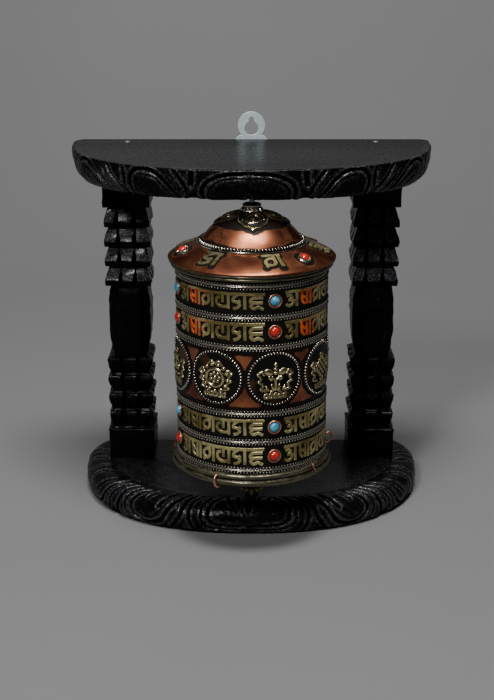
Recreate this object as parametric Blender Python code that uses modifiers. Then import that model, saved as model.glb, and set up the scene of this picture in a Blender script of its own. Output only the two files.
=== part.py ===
"""Prayer wheel in a carved wooden frame, for a wall or a table top.

A drum of sheet copper and brass turns on an upright steel spindle, between a half-round base board
and a half-round top board that two carved posts hold apart. Metres, +Z up. The origin is on the
spindle's axis, at the underside of the base board. The flat back of the frame faces +Y.
"""

import math

import bmesh
import bpy
from mathutils import Matrix, Vector

MM = 0.001
GAP = 0.3 * MM                    # air that touching pieces keep between them
ROUND = 32                        # facets round the drum

# Frame
BACK = 119.0 * MM                 # spindle axis to the flat back of the frame
BASE_HALF_WIDTH = 139.0 * MM
BASE_FRONT = -24.5 * MM
BASE_THICK = 23.5 * MM
BASE_ROLL = 15.0 * MM             # width of the rounded edge round the base board
BASE_GIRTH = 11.0 * MM            # height at which the base board is widest
BASE_CORNER = 15.0 * MM
TOP_HALF_WIDTH = 142.5 * MM
TOP_FRONT = -24.0 * MM
TOP_THICK = 23.0 * MM
TOP_CORNER = 7.0 * MM
OUTLINE_POWER = 2.3               # 2 would be a half ellipse, more is squarer
POST_HEIGHT = 237.5 * MM
POST_WIDTH = 38.0 * MM
POST_DEPTH = 41.5 * MM
POST_X = 99.5 * MM                # spindle axis to a post's middle
TOP_UNDERSIDE = BASE_THICK + POST_HEIGHT
TOP_FACE = TOP_UNDERSIDE + TOP_THICK

# Carving on a post, as heights above the base board
PLINTH = 25.5 * MM
LOWER_TIERS = 4
LOWER_TIER = 15.6 * MM
BARREL_TOP = 148.0 * MM
UPPER_TIERS = 4
UPPER_TIER = 16.1 * MM
TIER_LIP = 5.0 * MM               # upright part of an upper tier
TIER_STEP = 3.4 * MM              # how far a tier stands out of the post's core
NOTCH_WIDTH = 5.6 * MM
NOTCH_DEPTH = 3.2 * MM

# Drum, as heights above the underside of the base board
DRUM_RADIUS = 55.4 * MM           # outside of the plain shell
SHEET = 0.8 * MM
DRUM_BOTTOM = 56.5 * MM
CAP_RIM_RADIUS = 62.7 * MM
CAP_RIM_HEIGHT = 217.0 * MM
DOME_FOOT_RADIUS = 37.5 * MM
DOME_FOOT_HEIGHT = 229.3 * MM
DOME_TOP_HEIGHT = 251.0 * MM
RING_HEIGHT = 5.0 * MM
RING_CENTRES = [207.0 * MM, 184.0 * MM, 161.5 * MM, 111.5 * MM, 89.5 * MM, 67.4 * MM]
RING_RADIUS = 57.4 * MM
BAND_RELIEF = 56.6 * MM           # outside radius of an embossed band
MEDALLIONS = 8
MEDALLION_RADIUS = 20.5 * MM
MEDALLION_HEIGHT = 136.5 * MM
MEDALLION_FIRST = math.radians(-27.5)
BEZELS = 4
BEZEL_FIRST = math.radians(16.8)
BEZEL_RADIUS = 5.2 * MM
CAP_STONES = [math.radians(a) for a in (-77, 46, 166)]
TIE_ANGLES = [math.radians(a) for a in (-98, -27, 50, 112, -170)]

# Spindle and its bearings
SPINDLE_RADIUS = 2.0 * MM
SPINDLE_CLEARANCE = 0.4 * MM
SPINDLE_TIP = BASE_THICK - 7.0 * MM
SPINDLE_END = TOP_UNDERSIDE + 10.0 * MM
CUP_RADIUS = 5.0 * MM
CUP_DEPTH = 11.0 * MM

# Fasteners and the wall plate
SCREW_SHANK = 2.0 * MM
SCREW_HEAD = 4.2 * MM
NAIL_SHANK = 1.3 * MM
NAIL_HEAD = 2.4 * MM
NAIL_Y = 107.0 * MM
PLATE_THICK = 1.2 * MM
PLATE_HEAD_RADIUS = 11.0 * MM
PLATE_HEAD_HEIGHT = TOP_FACE + 11.2 * MM
KEYHOLE_RADIUS = 5.6 * MM
KEYHOLE_DROP = 2.3 * MM           # the round hole's middle, below the plate head's
KEYHOLE_SLOT = 2.1 * MM           # half the slot's width
PLATE_SCREW_X = 9.0 * MM
PLATE_SCREW_HEIGHT = TOP_FACE - 12.0 * MM

MODEL = bpy.data.collections.new("prayer_wheel")
CUTTERS = bpy.data.collections.new("cutters")
MATERIALS = {
    "ebonised_wood": ((0.018, 0.018, 0.020), 0.5, 0.0),
    "copper": ((0.62, 0.30, 0.20), 0.32, 1.0),
    "brass": ((0.55, 0.47, 0.25), 0.38, 1.0),
    "white_metal": ((0.55, 0.53, 0.47), 0.35, 1.0),
    "steel": ((0.45, 0.46, 0.46), 0.35, 1.0),
    "zinc_plate": ((0.66, 0.70, 0.72), 0.4, 1.0),
    "coral": ((0.75, 0.05, 0.03), 0.25, 0.0),
    "paper": ((0.80, 0.76, 0.64), 0.9, 0.0),
    "saffron_cloth": ((0.80, 0.42, 0.06), 0.9, 0.0),
}


def clear_scene():
    for obj in list(bpy.data.objects):
        bpy.data.objects.remove(obj)
    for collection in (MODEL, CUTTERS):
        bpy.context.scene.collection.children.link(collection)
    for name, (colour, roughness, metallic) in MATERIALS.items():
        material = bpy.data.materials.new(name)
        material.use_nodes = True
        shader = material.node_tree.nodes["Principled BSDF"]
        shader.inputs["Base Color"].default_value = (*colour, 1.0)
        shader.inputs["Roughness"].default_value = roughness
        shader.inputs["Metallic"].default_value = metallic
        material.diffuse_color = (*colour, 1.0)


def place(name, mesh, material, collection=None):
    """Puts a mesh in the model, or in another collection, as an object with its material."""
    obj = bpy.data.objects.new(name, mesh)
    (collection or MODEL).objects.link(obj)
    if material:
        mesh.materials.append(bpy.data.materials[material])
    return obj


def mesh_of(name, shape):
    """The bmesh as a mesh, with its normals turned outwards."""
    bmesh.ops.recalc_face_normals(shape, faces=shape.faces)
    mesh = bpy.data.meshes.new(name)
    shape.to_mesh(mesh)
    shape.free()
    return mesh


def hide(obj):
    obj.hide_render = True
    obj.display_type = "WIRE"


def cut(obj, cutter, operation="DIFFERENCE"):
    modifier = obj.modifiers.new(cutter.name, "BOOLEAN")
    modifier.operation = operation
    modifier.object = cutter
    hide(cutter)


def smooth(obj, angle=35):
    obj.data.shade_smooth()
    obj.data.set_sharp_from_angle(angle=math.radians(angle))


def turned(name, profile, material, facets=ROUND, collection=None):
    """A shape turned about +Z. The profile is (radius, height) points down the outer side.

    A profile whose ends are off the axis is closed into a ring.
    """
    mesh = bpy.data.meshes.new(name)
    on_axis = profile[0][0] == 0 and profile[-1][0] == 0
    count = len(profile)
    edges = [(i, (i + 1) % count) for i in range(count - 1 if on_axis else count)]
    mesh.from_pydata([(radius, 0, height) for radius, height in profile], edges, [])
    obj = place(name, mesh, material, collection)
    screw = obj.modifiers.new("turn", "SCREW")
    screw.steps = screw.render_steps = facets
    screw.use_merge_vertices = True
    screw.merge_threshold = 0.00001
    return obj


def tube_wall(outer, wall, low, high):
    """Profile of a plain tube, down its outer side and up its inner side."""
    return [(outer, high), (outer, low), (outer - wall, low), (outer - wall, high)]


def sheet_ring(outline, wall):
    """Profile of bent sheet: the outline down its outer face, and the same moved inwards by the wall."""
    inner = [(radius - wall * 0.35, height - wall) for radius, height in reversed(outline)]
    return outline + inner


def loft(name, rings, material):
    """A solid through rings of points, lowest first, all with the same number of points."""
    shape = bmesh.new()
    loops = [[shape.verts.new(point) for point in ring] for ring in rings]
    for low, high in zip(loops, loops[1:]):
        for i in range(len(low)):
            j = (i + 1) % len(low)
            shape.faces.new((low[i], low[j], high[j], high[i]))
    shape.faces.new(loops[0][::-1])
    shape.faces.new(loops[-1])
    return place(name, mesh_of(name, shape), material)


def prism(shape, outline, matrix, depth):
    """Adds to a bmesh the outline, in its own XZ plane, thickened along Y by depth either way."""
    near, far = (
        [shape.verts.new(matrix @ Vector((x, side * depth, z))) for x, z in outline]
        for side in (-1, 1)
    )
    count = len(outline)
    for i in range(count):
        j = (i + 1) % count
        shape.faces.new((near[i], near[j], far[j], far[i]))
    shape.faces.new(near[::-1])
    shape.faces.new(far)


# Boards

def half_round(half_width, front, corner, inset, height):
    """The outline of a board with a flat back, drawn in from the front and sides by inset."""
    middle = BACK - corner
    points = []
    for i in range(5):
        turn = math.radians(90 - 22.5 * i)
        x = half_width - corner + (corner - inset) * math.cos(turn)
        points.append((x, middle + corner * math.sin(turn), height))
    steps = 36
    for i in range(1, steps):
        turn = math.pi * i / steps
        power = 2 / OUTLINE_POWER
        along = math.copysign(abs(math.cos(turn)) ** power, math.cos(turn))
        across = math.sin(turn) ** power
        points.append((
            (half_width - inset) * along,
            middle - (middle - front - inset) * across,
            height,
        ))
    points += [(-x, y, z) for x, y, z in reversed(points[:5])]
    return points[::-1]


def base_board():
    sections = [(0.0, 3.0 * MM), (3.0 * MM, 1.6 * MM), (BASE_GIRTH, 0.0)]
    rise = BASE_THICK - BASE_GIRTH
    for i in range(1, 6):
        turn = math.radians(18 * i)
        sections.append((BASE_GIRTH + rise * math.sin(turn), BASE_ROLL * (1 - math.cos(turn))))
    rings = [
        half_round(BASE_HALF_WIDTH, BASE_FRONT, BASE_CORNER, min(inset, BASE_CORNER - MM), height)
        for height, inset in sections
    ]
    board = loft("base_board", rings, "ebonised_wood")
    pocket = tube_profile_solid(CUP_RADIUS + GAP, BASE_THICK - CUP_DEPTH - GAP, BASE_THICK + 2 * MM)
    cut(board, turned("cup_pocket", pocket, None, 24, CUTTERS))
    for side in (-1, 1):
        hole = fastener_hole(SCREW_HEAD, SCREW_SHANK)
        hole_cutter = turned(f"base_hole_{side}", hole, None, 16, CUTTERS)
        hole_cutter.location = (side * POST_X, POST_MIDDLE_Y, 0)
        cut(board, hole_cutter)
    return board


def top_board():
    sections = [
        (0.0, 6.5 * MM), (2.5 * MM, 4.4 * MM), (7.0 * MM, 2.2 * MM), (13.0 * MM, 0.6 * MM),
        (17.0 * MM, 0.0), (TOP_THICK - 0.8 * MM, 0.0), (TOP_THICK, 0.8 * MM),
    ]
    rings = [
        half_round(TOP_HALF_WIDTH, TOP_FRONT, TOP_CORNER, inset, TOP_UNDERSIDE + height)
        for height, inset in sections
    ]
    board = loft("top_board", rings, "ebonised_wood")
    hole = tube_profile_solid(
        SPINDLE_RADIUS + SPINDLE_CLEARANCE, TOP_UNDERSIDE - 2 * MM, SPINDLE_END + 2 * MM
    )
    cut(board, turned("spindle_hole", hole, None, 24, CUTTERS))
    for side in (-1, 1):
        nail_cutter = turned(
            f"nail_hole_{side}", fastener_hole(NAIL_HEAD, NAIL_SHANK), None, 12, CUTTERS
        )
        nail_cutter.location = (side * POST_X, NAIL_Y, TOP_FACE)
        nail_cutter.rotation_euler = (math.pi, 0, 0)
        cut(board, nail_cutter)
        screw_cutter = turned(
            f"plate_hole_{side}",
            tube_profile_solid(1.4 * MM + GAP, -2 * MM, 15 * MM),
            None, 12, CUTTERS,
        )
        screw_cutter.location = (side * PLATE_SCREW_X, BACK, PLATE_SCREW_HEIGHT)
        screw_cutter.rotation_euler = (math.pi / 2, 0, 0)
        cut(board, screw_cutter)
    return board


def tube_profile_solid(radius, low, high):
    """Profile of a plain solid rod."""
    return [(0, high), (radius, high), (radius, low), (0, low)]


# Posts

def post_section(height, inset, chamfer):
    """One eight-sided section of a post, flush with the frame's back. Inset draws in three sides."""
    half = POST_WIDTH / 2 - inset
    front = BACK - POST_DEPTH + inset
    return [
        (-half + chamfer, front, height), (half - chamfer, front, height),
        (half, front + chamfer, height), (half, BACK - chamfer * 0.4, height),
        (half - chamfer * 0.4, BACK, height), (-half + chamfer * 0.4, BACK, height),
        (-half, BACK - chamfer * 0.4, height), (-half, front + chamfer, height),
    ]


def post_sections():
    """Heights, insets and chamfers up a post: plinth, rounded tiers, barrel, pointed tiers, cap."""
    edge = 0.8 * MM
    barrel_chamfer = 8.0 * MM
    rows = [(GAP, 0.5 * MM, edge), (PLINTH, 0.5 * MM, edge), (PLINTH + 0.2 * MM, TIER_STEP, edge)]
    for tier in range(LOWER_TIERS):
        low = PLINTH + tier * LOWER_TIER
        rows += [
            (low + 2.0 * MM, TIER_STEP, edge),
            (low + 8.5 * MM, 1.2 * MM, edge),
            (low + LOWER_TIER - 0.4 * MM, 1.8 * MM, edge),
            (low + LOWER_TIER, TIER_STEP + 1.0 * MM, edge),
        ]
    barrel_low = PLINTH + LOWER_TIERS * LOWER_TIER
    rows += [
        (barrel_low + 3.0 * MM, 4.6 * MM, barrel_chamfer * 0.6),
        (barrel_low + 14.0 * MM, 2.6 * MM, barrel_chamfer),
        (BARREL_TOP - 9.0 * MM, 2.6 * MM, barrel_chamfer),
        (BARREL_TOP, 5.0 * MM, barrel_chamfer * 0.5),
    ]
    for tier in range(UPPER_TIERS):
        low = BARREL_TOP + 0.4 * MM + tier * UPPER_TIER
        rows += [
            (low, 0.7 * MM, edge),
            (low + TIER_LIP, 0.7 * MM, edge),
            (low + UPPER_TIER - 0.4 * MM, TIER_STEP + 0.4 * MM, edge),
        ]
    cap_low = BARREL_TOP + 0.4 * MM + UPPER_TIERS * UPPER_TIER
    rows += [(cap_low, 0.0, edge), (POST_HEIGHT - GAP, 0.0, edge)]
    return [(BASE_THICK + height, inset, chamfer) for height, inset, chamfer in rows]


def post_notches(name):
    """Cutters for the pointed notches of the upper tiers and the grooves of the lower ones."""
    shape = bmesh.new()
    front = BACK - POST_DEPTH
    half = POST_WIDTH / 2
    faces = [
        Matrix.Translation((0, front, 0)),
        Matrix.Translation((half, BACK - POST_DEPTH / 2, 0)) @ Matrix.Rotation(math.pi / 2, 4, "Z"),
        Matrix.Translation((-half, BACK - POST_DEPTH / 2, 0)) @ Matrix.Rotation(math.pi / 2, 4, "Z"),
    ]
    groove_low = BASE_THICK + PLINTH + 1.5 * MM
    groove_high = BASE_THICK + PLINTH + LOWER_TIERS * LOWER_TIER + 1.0 * MM
    for face in faces:
        for column in (-1, 1):
            x = column * POST_WIDTH / 6
            groove = 1.1 * MM
            prism(shape, [
                (x - groove, groove_low), (x + groove, groove_low),
                (x + groove, groove_high), (x - groove, groove_high),
            ], face, NOTCH_DEPTH)
            for tier in range(UPPER_TIERS):
                low = BASE_THICK + BARREL_TOP + tier * UPPER_TIER + 0.9 * MM
                prism(shape, [
                    (x - NOTCH_WIDTH / 2, low), (x + NOTCH_WIDTH / 2, low),
                    (x, low + UPPER_TIER - 3.0 * MM),
                ], face, NOTCH_DEPTH)
    return place(name, mesh_of(name, shape), None, CUTTERS)


POST_MIDDLE_Y = BACK - POST_DEPTH / 2


def post(name, side):
    rings = [post_section(*row) for row in post_sections()]
    obj = loft(name, rings, "ebonised_wood")
    obj.location.x = side * POST_X
    notches = post_notches(f"{name}_notches")
    notches.location.x = side * POST_X
    cut(obj, notches)
    screw_hole = turned(
        f"{name}_screw_hole",
        tube_profile_solid(SCREW_SHANK + GAP, BASE_THICK - 2 * MM, BASE_THICK + 32 * MM),
        None, 12, CUTTERS,
    )
    screw_hole.location = (side * POST_X, POST_MIDDLE_Y, 0)
    cut(obj, screw_hole)
    nail_hole = turned(
        f"{name}_nail_hole",
        tube_profile_solid(NAIL_SHANK + GAP, TOP_UNDERSIDE - 24 * MM, TOP_UNDERSIDE + 2 * MM),
        None, 12, CUTTERS,
    )
    nail_hole.location = (side * POST_X, NAIL_Y, 0)
    cut(obj, nail_hole)
    return obj


# Fasteners

def fastener(name, head, shank, length, material, facets=14):
    """A countersunk screw or nail, its head's face at height 0 and its point upwards."""
    profile = [
        (0, length), (shank * 0.35, length - shank), (shank, length - 3.5 * shank),
        (shank, head - shank + 0.5 * MM), (head, 0.5 * MM), (head, 0), (0, 0),
    ]
    return turned(name, profile, material, facets)


def fastener_hole(head, shank):
    """Cutter profile for a countersunk fastener that enters upwards from height 0."""
    wide, narrow = head + GAP, shank + GAP
    return [
        (0, 60 * MM), (narrow, 60 * MM), (narrow, head - shank + 1.2 * MM),
        (wide, 1.2 * MM), (wide, -2 * MM), (0, -2 * MM),
    ]


def frame_fasteners():
    for side, word in ((-1, "left"), (1, "right")):
        screw = fastener(f"base_screw_{word}", SCREW_HEAD, SCREW_SHANK, 50 * MM, "steel")
        screw.location = (side * POST_X, POST_MIDDLE_Y, 0.6 * MM)
        nail = fastener(f"top_nail_{word}", NAIL_HEAD, NAIL_SHANK, 44 * MM, "steel", 12)
        nail.location = (side * POST_X, NAIL_Y, TOP_FACE - 0.2 * MM)
        nail.rotation_euler = (math.pi, 0, 0)
        head = turned(f"hanger_screw_{word}", [
            (0, 13 * MM), (0.5 * MM, 12 * MM), (1.4 * MM, 9.5 * MM), (1.4 * MM, 0),
            (3.2 * MM, 0), (2.9 * MM, -0.8 * MM), (1.9 * MM, -1.5 * MM), (0, -1.8 * MM),
        ], "zinc_plate", 14)
        head.location = (side * PLATE_SCREW_X, BACK + PLATE_THICK + 2 * GAP, PLATE_SCREW_HEIGHT)
        head.rotation_euler = (math.pi / 2, 0, 0)


# Wall plate

def arc(centre_x, centre_z, radius, start, end, steps):
    """Points on an arc between two angles in degrees, both ends included."""
    points = []
    for i in range(steps + 1):
        turn = math.radians(start + (end - start) * i / steps)
        points.append((centre_x + radius * math.cos(turn), centre_z + radius * math.sin(turn)))
    return points


def hanger_plate():
    """A flat plate with a round head and keyhole, and a wider foot screwed to the board's back."""
    foot_half, foot_low, neck = 15.0 * MM, TOP_FACE - 19.0 * MM, TOP_FACE + 3.0 * MM
    outline = arc(0, PLATE_HEAD_HEIGHT, PLATE_HEAD_RADIUS, -42, 222, 20)
    outline += [(-10.0 * MM, neck), (-foot_half, TOP_FACE - 4.0 * MM)]
    outline += arc(-foot_half + 3 * MM, foot_low + 3 * MM, 3 * MM, 180, 270, 3)
    outline += arc(foot_half - 3 * MM, foot_low + 3 * MM, 3 * MM, 270, 360, 3)
    outline += [(foot_half, TOP_FACE - 4.0 * MM), (10.0 * MM, neck)]
    half = PLATE_THICK / 2
    middle = BACK + GAP + half
    upright = Matrix.Translation((0, middle, 0))
    shape = bmesh.new()
    prism(shape, outline, upright, half)
    plate = place("hanger_plate", mesh_of("hanger_plate", shape), "zinc_plate")
    hole_middle = PLATE_HEAD_HEIGHT - KEYHOLE_DROP
    keyhole = arc(0, hole_middle, KEYHOLE_RADIUS, 112, 428, 18)
    keyhole += arc(0, PLATE_HEAD_HEIGHT + 4.6 * MM, KEYHOLE_SLOT, 0, 180, 6)
    shape = bmesh.new()
    prism(shape, keyhole, upright, 2 * MM)
    cut(plate, place("keyhole", mesh_of("keyhole", shape), None, CUTTERS))
    for side in (-1, 1):
        hole = turned(
            f"foot_hole_{side}", tube_profile_solid(1.4 * MM + GAP, -3 * MM, 3 * MM), None, 14, CUTTERS
        )
        hole.location = (side * PLATE_SCREW_X, middle, PLATE_SCREW_HEIGHT)
        hole.rotation_euler = (math.pi / 2, 0, 0)
        cut(plate, hole)


# Spindle, bearing and the pieces on it

def spindle_group():
    turned("spindle", [
        (0, SPINDLE_END), (SPINDLE_RADIUS, SPINDLE_END),
        (SPINDLE_RADIUS, SPINDLE_TIP + 2.0 * MM), (0, SPINDLE_TIP),
    ], "steel", 20)
    well = SPINDLE_RADIUS + SPINDLE_CLEARANCE
    turned("pivot_cup", [
        (CUP_RADIUS, BASE_THICK - GAP), (CUP_RADIUS, BASE_THICK - CUP_DEPTH),
        (0, BASE_THICK - CUP_DEPTH), (0, SPINDLE_TIP - GAP),
        (well, SPINDLE_TIP + 2.0 * MM), (well, BASE_THICK - GAP),
    ], "brass", 20)
    bore = SPINDLE_RADIUS + GAP
    turned("lower_bead", [
        (5.0 * MM, BASE_THICK + 9.5 * MM), (7.2 * MM, BASE_THICK + 7.5 * MM),
        (7.0 * MM, BASE_THICK + 5.0 * MM), (5.2 * MM, BASE_THICK + 2.0 * MM),
        (4.2 * MM, BASE_THICK + 0.6 * MM), (bore, BASE_THICK + 0.6 * MM),
        (bore, BASE_THICK + 9.5 * MM),
    ], "brass", 20)
    floor = DRUM_BOTTOM
    turned("bottom_collar", tube_wall(7.0 * MM, 7.0 * MM - bore, floor - 5.0 * MM, floor - 1.6 * MM),
           "white_metal", 20)
    turned("collar_bezel", [
        (7.2 * MM, DOME_TOP_HEIGHT + 1.6 * MM), (8.4 * MM, DOME_TOP_HEIGHT + 0.3 * MM),
        (8.4 * MM, DOME_TOP_HEIGHT - 0.3 * MM), (bore, DOME_TOP_HEIGHT + 1.1 * MM),
        (bore, DOME_TOP_HEIGHT + 1.6 * MM),
    ], "white_metal", 20)
    turned("top_collar", [
        (6.4 * MM, DOME_TOP_HEIGHT + 4.6 * MM), (7.1 * MM, DOME_TOP_HEIGHT + 3.9 * MM),
        (7.1 * MM, DOME_TOP_HEIGHT + 1.9 * MM), (bore, DOME_TOP_HEIGHT + 1.9 * MM),
        (bore, DOME_TOP_HEIGHT + 4.0 * MM), (4.6 * MM, DOME_TOP_HEIGHT + 4.0 * MM),
        (5.2 * MM, DOME_TOP_HEIGHT + 4.6 * MM),
    ], "white_metal", 20)


# Drum

def dome_height(radius):
    """Height of the dome's outer face: a spherical cap over the dome's foot."""
    rise = DOME_TOP_HEIGHT - 0.8 * MM - DOME_FOOT_HEIGHT
    sphere = (DOME_FOOT_RADIUS ** 2 + rise ** 2) / (2 * rise)
    return DOME_FOOT_HEIGHT + rise - sphere + math.sqrt(sphere ** 2 - radius ** 2)


def drum_casing():
    bore = SPINDLE_RADIUS + GAP
    turned("drum_shell", tube_wall(DRUM_RADIUS, SHEET, DRUM_BOTTOM + GAP, 209.8 * MM), "copper")
    turned("drum_floor", [
        (53.0 * MM, DRUM_BOTTOM), (53.0 * MM, DRUM_BOTTOM - SHEET), (30.0 * MM, DRUM_BOTTOM - SHEET),
        (26.0 * MM, DRUM_BOTTOM - 1.3 * MM), (bore, DRUM_BOTTOM - 1.3 * MM), (bore, DRUM_BOTTOM),
    ], "brass")
    roll = 2.4 * MM
    lower, upper = (59.2 * MM, 58.3 * MM), (57.9 * MM, 62.1 * MM)
    outline = [(DRUM_RADIUS + GAP, upper[1] + roll)]
    for radius, height in (upper, lower):
        outline += [
            (radius + roll * math.cos(math.radians(turn)), height + roll * math.sin(math.radians(turn)))
            for turn in (60, 0, -45)
        ]
    outline += [(lower[0], lower[1] - roll), (53.3 * MM, DRUM_BOTTOM - SHEET)]
    outline += [(53.3 * MM, DRUM_BOTTOM), (DRUM_RADIUS + GAP, DRUM_BOTTOM)]
    turned("bottom_rim", outline, "brass")
    turned("cap_lip", [
        (DRUM_RADIUS + 3.2 * MM, CAP_RIM_HEIGHT - 1.9 * MM),
        (CAP_RIM_RADIUS - 0.4 * MM, CAP_RIM_HEIGHT - 1.9 * MM),
        (CAP_RIM_RADIUS - 0.3 * MM, CAP_RIM_HEIGHT - 3.0 * MM),
        (CAP_RIM_RADIUS - 1.8 * MM, CAP_RIM_HEIGHT - 3.8 * MM),
        (CAP_RIM_RADIUS - 1.9 * MM, CAP_RIM_HEIGHT - 5.0 * MM),
        (CAP_RIM_RADIUS - 3.8 * MM, CAP_RIM_HEIGHT - 6.2 * MM),
        (DRUM_RADIUS + GAP, CAP_RIM_HEIGHT - 6.6 * MM),
        (DRUM_RADIUS + GAP, CAP_RIM_HEIGHT - 4.0 * MM),
    ], "brass")
    turned("cap_cone", sheet_ring([
        (DOME_FOOT_RADIUS - 1.0 * MM, DOME_FOOT_HEIGHT - 0.9 * MM),
        (50.0 * MM, 223.6 * MM), (58.5 * MM, 219.6 * MM), (CAP_RIM_RADIUS - 0.5 * MM, CAP_RIM_HEIGHT),
        (CAP_RIM_RADIUS, CAP_RIM_HEIGHT - 0.7 * MM),
    ], SHEET), "copper")
    radii = [bore + 0.2 * MM, 10 * MM, 19 * MM, 27 * MM, 33 * MM, DOME_FOOT_RADIUS]
    turned("cap_dome", sheet_ring([(r, dome_height(r)) for r in radii], 0.6 * MM), "copper")
    wire = 1.3 * MM
    foot = (DOME_FOOT_RADIUS + wire + 0.5 * MM, DOME_FOOT_HEIGHT + 0.6 * MM)
    turned("dome_bead_ring", [
        (foot[0] + wire * math.cos(turn), foot[1] + wire * math.sin(turn))
        for turn in (math.radians(90 - 60 * i) for i in range(6))
    ], "white_metal")


def crown_rosette():
    """A brass flower of four petals, pressed to lie on the dome."""
    shape = bmesh.new()
    petals, steps, rows = 4, 32, 3
    first = math.radians(4)
    lift = 0.6 * MM
    thick = 0.8 * MM
    layers = []
    for raised in (lift, lift + thick):
        layer = []
        for row in range(rows + 1):
            loop = []
            for i in range(steps):
                turn = 2 * math.pi * i / steps
                lobe = 21.5 * MM + 6.5 * MM * math.cos(petals * (turn - first))
                radius = 8.8 * MM + (lobe - 8.8 * MM) * row / rows
                height = dome_height(radius) + raised
                loop.append(shape.verts.new((radius * math.sin(turn), -radius * math.cos(turn), height)))
            layer.append(loop)
        layers.append(layer)
    low, high = layers
    for i in range(steps):
        j = (i + 1) % steps
        for row in range(rows):
            shape.faces.new((high[row][i], high[row][j], high[row + 1][j], high[row + 1][i]))
            shape.faces.new((low[row + 1][i], low[row + 1][j], low[row][j], low[row][i]))
        shape.faces.new((low[0][i], low[0][j], high[0][j], high[0][i]))
        shape.faces.new((high[-1][i], high[-1][j], low[-1][j], low[-1][i]))
    place("crown_rosette", mesh_of("crown_rosette", shape), "brass")


def wire_rings():
    """Six soldered belts, each a flat strip between two beaded wires."""
    inner = DRUM_RADIUS + GAP
    half = RING_HEIGHT / 2
    for letter, centre in zip("abcdef", RING_CENTRES):
        turned(f"wire_ring_{letter}", [
            (inner, centre + half), (RING_RADIUS, centre + half - 0.6 * MM),
            (RING_RADIUS - 0.6 * MM, centre), (RING_RADIUS, centre - half + 0.6 * MM),
            (inner, centre - half),
        ], "white_metal")


def radial_cylinder(name, angle, height, radius, facets, collection=None):
    """A cylinder that points out of the drum at an angle from the front, and crosses its wall."""
    shape = bmesh.new()
    bmesh.ops.create_cone(
        shape, cap_ends=True, segments=facets, radius1=radius, radius2=radius, depth=12 * MM
    )
    obj = place(name, mesh_of(name, shape), None, collection or CUTTERS)
    outward = Vector((math.sin(angle), -math.cos(angle), 0))
    obj.rotation_euler = outward.to_track_quat("Z", "Y").to_euler()
    obj.location = outward * (DRUM_RADIUS + 2 * MM) + Vector((0, 0, height))
    return obj


def embossed_bands():
    """Four strips of brass between the wire rings, each with four collets soldered on for stones."""
    rows = [(0, 1), (1, 2), (3, 4), (4, 5)]
    inner = DRUM_RADIUS + GAP
    for number, (upper, lower) in enumerate(rows, 1):
        low = RING_CENTRES[lower] + RING_HEIGHT / 2 + GAP
        high = RING_CENTRES[upper] - RING_HEIGHT / 2 - GAP
        band = turned(
            f"embossed_band_{number}", tube_wall(BAND_RELIEF, BAND_RELIEF - inner, low, high), "brass"
        )
        for stone in range(BEZELS):
            angle = BEZEL_FIRST + stone * 2 * math.pi / BEZELS
            name = f"collet_{number}_{stone}"
            collet = turned(
                name, tube_profile_solid(BEZEL_RADIUS, -0.4 * MM, 1.9 * MM), None, 14, CUTTERS
            )
            outward = Vector((math.sin(angle), -math.cos(angle), 0))
            collet.rotation_euler = outward.to_track_quat("Z", "Y").to_euler()
            collet.location = outward * BAND_RELIEF * 0.993 + Vector((0, 0, (low + high) / 2))
            cut(band, collet, "UNION")


def medallions():
    """The copper band round the drum's middle, and eight pressed brass discs bent to it."""
    inner = DRUM_RADIUS + GAP
    low = RING_CENTRES[3] + RING_HEIGHT / 2 + GAP
    high = RING_CENTRES[2] - RING_HEIGHT / 2 - GAP
    skin = 0.6 * MM
    turned("medallion_band", tube_wall(inner + skin, skin, low, high), "copper")
    disc_inner = inner + skin + GAP
    for number in range(1, MEDALLIONS + 1):
        angle = MEDALLION_FIRST + (number - 1) * 2 * math.pi / MEDALLIONS
        name = f"medallion_{number}"
        disc = turned(name, tube_wall(disc_inner + 1.3 * MM, 1.3 * MM, low - 5 * MM, high + 5 * MM),
                      "brass", 64)
        punch = radial_cylinder(f"{name}_punch", angle, MEDALLION_HEIGHT, MEDALLION_RADIUS, 28)
        cut(disc, punch, "INTERSECT")


def cap_stones():
    """Three coral cabochons on the cone, each in a cup of white metal."""
    slope = math.radians(26)
    for number, angle in enumerate(CAP_STONES, 1):
        radius, height = 50.5 * MM, 223.9 * MM
        stone = turned(f"cap_stone_{number}", [
            (0, 3.2 * MM), (1.9 * MM, 2.7 * MM), (3.2 * MM, 1.5 * MM), (4.3 * MM, 1.2 * MM),
            (4.3 * MM, 0.0), (0, 0.0),
        ], "coral", 16)
        normal = Vector((
            math.sin(angle) * math.sin(slope), -math.cos(angle) * math.sin(slope), math.cos(slope),
        ))
        stone.rotation_euler = normal.to_track_quat("Z", "Y").to_euler()
        stone.location = Vector((math.sin(angle) * radius, -math.cos(angle) * radius, height))
        stone.location += normal * 0.2 * MM


def wire_ties():
    """Five copper wires looped round the rolled rim, which hold the bottom on."""
    for number, angle in enumerate(TIE_ANGLES, 1):
        curve = bpy.data.curves.new(f"wire_tie_{number}", "CURVE")
        curve.dimensions = "3D"
        curve.bevel_depth = 0.55 * MM
        curve.bevel_resolution = 1
        curve.use_fill_caps = True
        loop = [
            (58.6, 66.2), (60.6, 66.6), (62.6, 64.2), (63.4, 61.0), (63.3, 57.6), (61.6, 54.8), (59.4, 54.2),
        ]
        spline = curve.splines.new("POLY")
        spline.points.add(len(loop) - 1)
        for point, (radius, height) in zip(spline.points, loop):
            point.co = (
                math.sin(angle) * radius * MM, -math.cos(angle) * radius * MM, height * MM, 1.0,
            )
        obj = bpy.data.objects.new(curve.name, curve)
        MODEL.objects.link(obj)
        curve.materials.append(bpy.data.materials["copper"])


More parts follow.
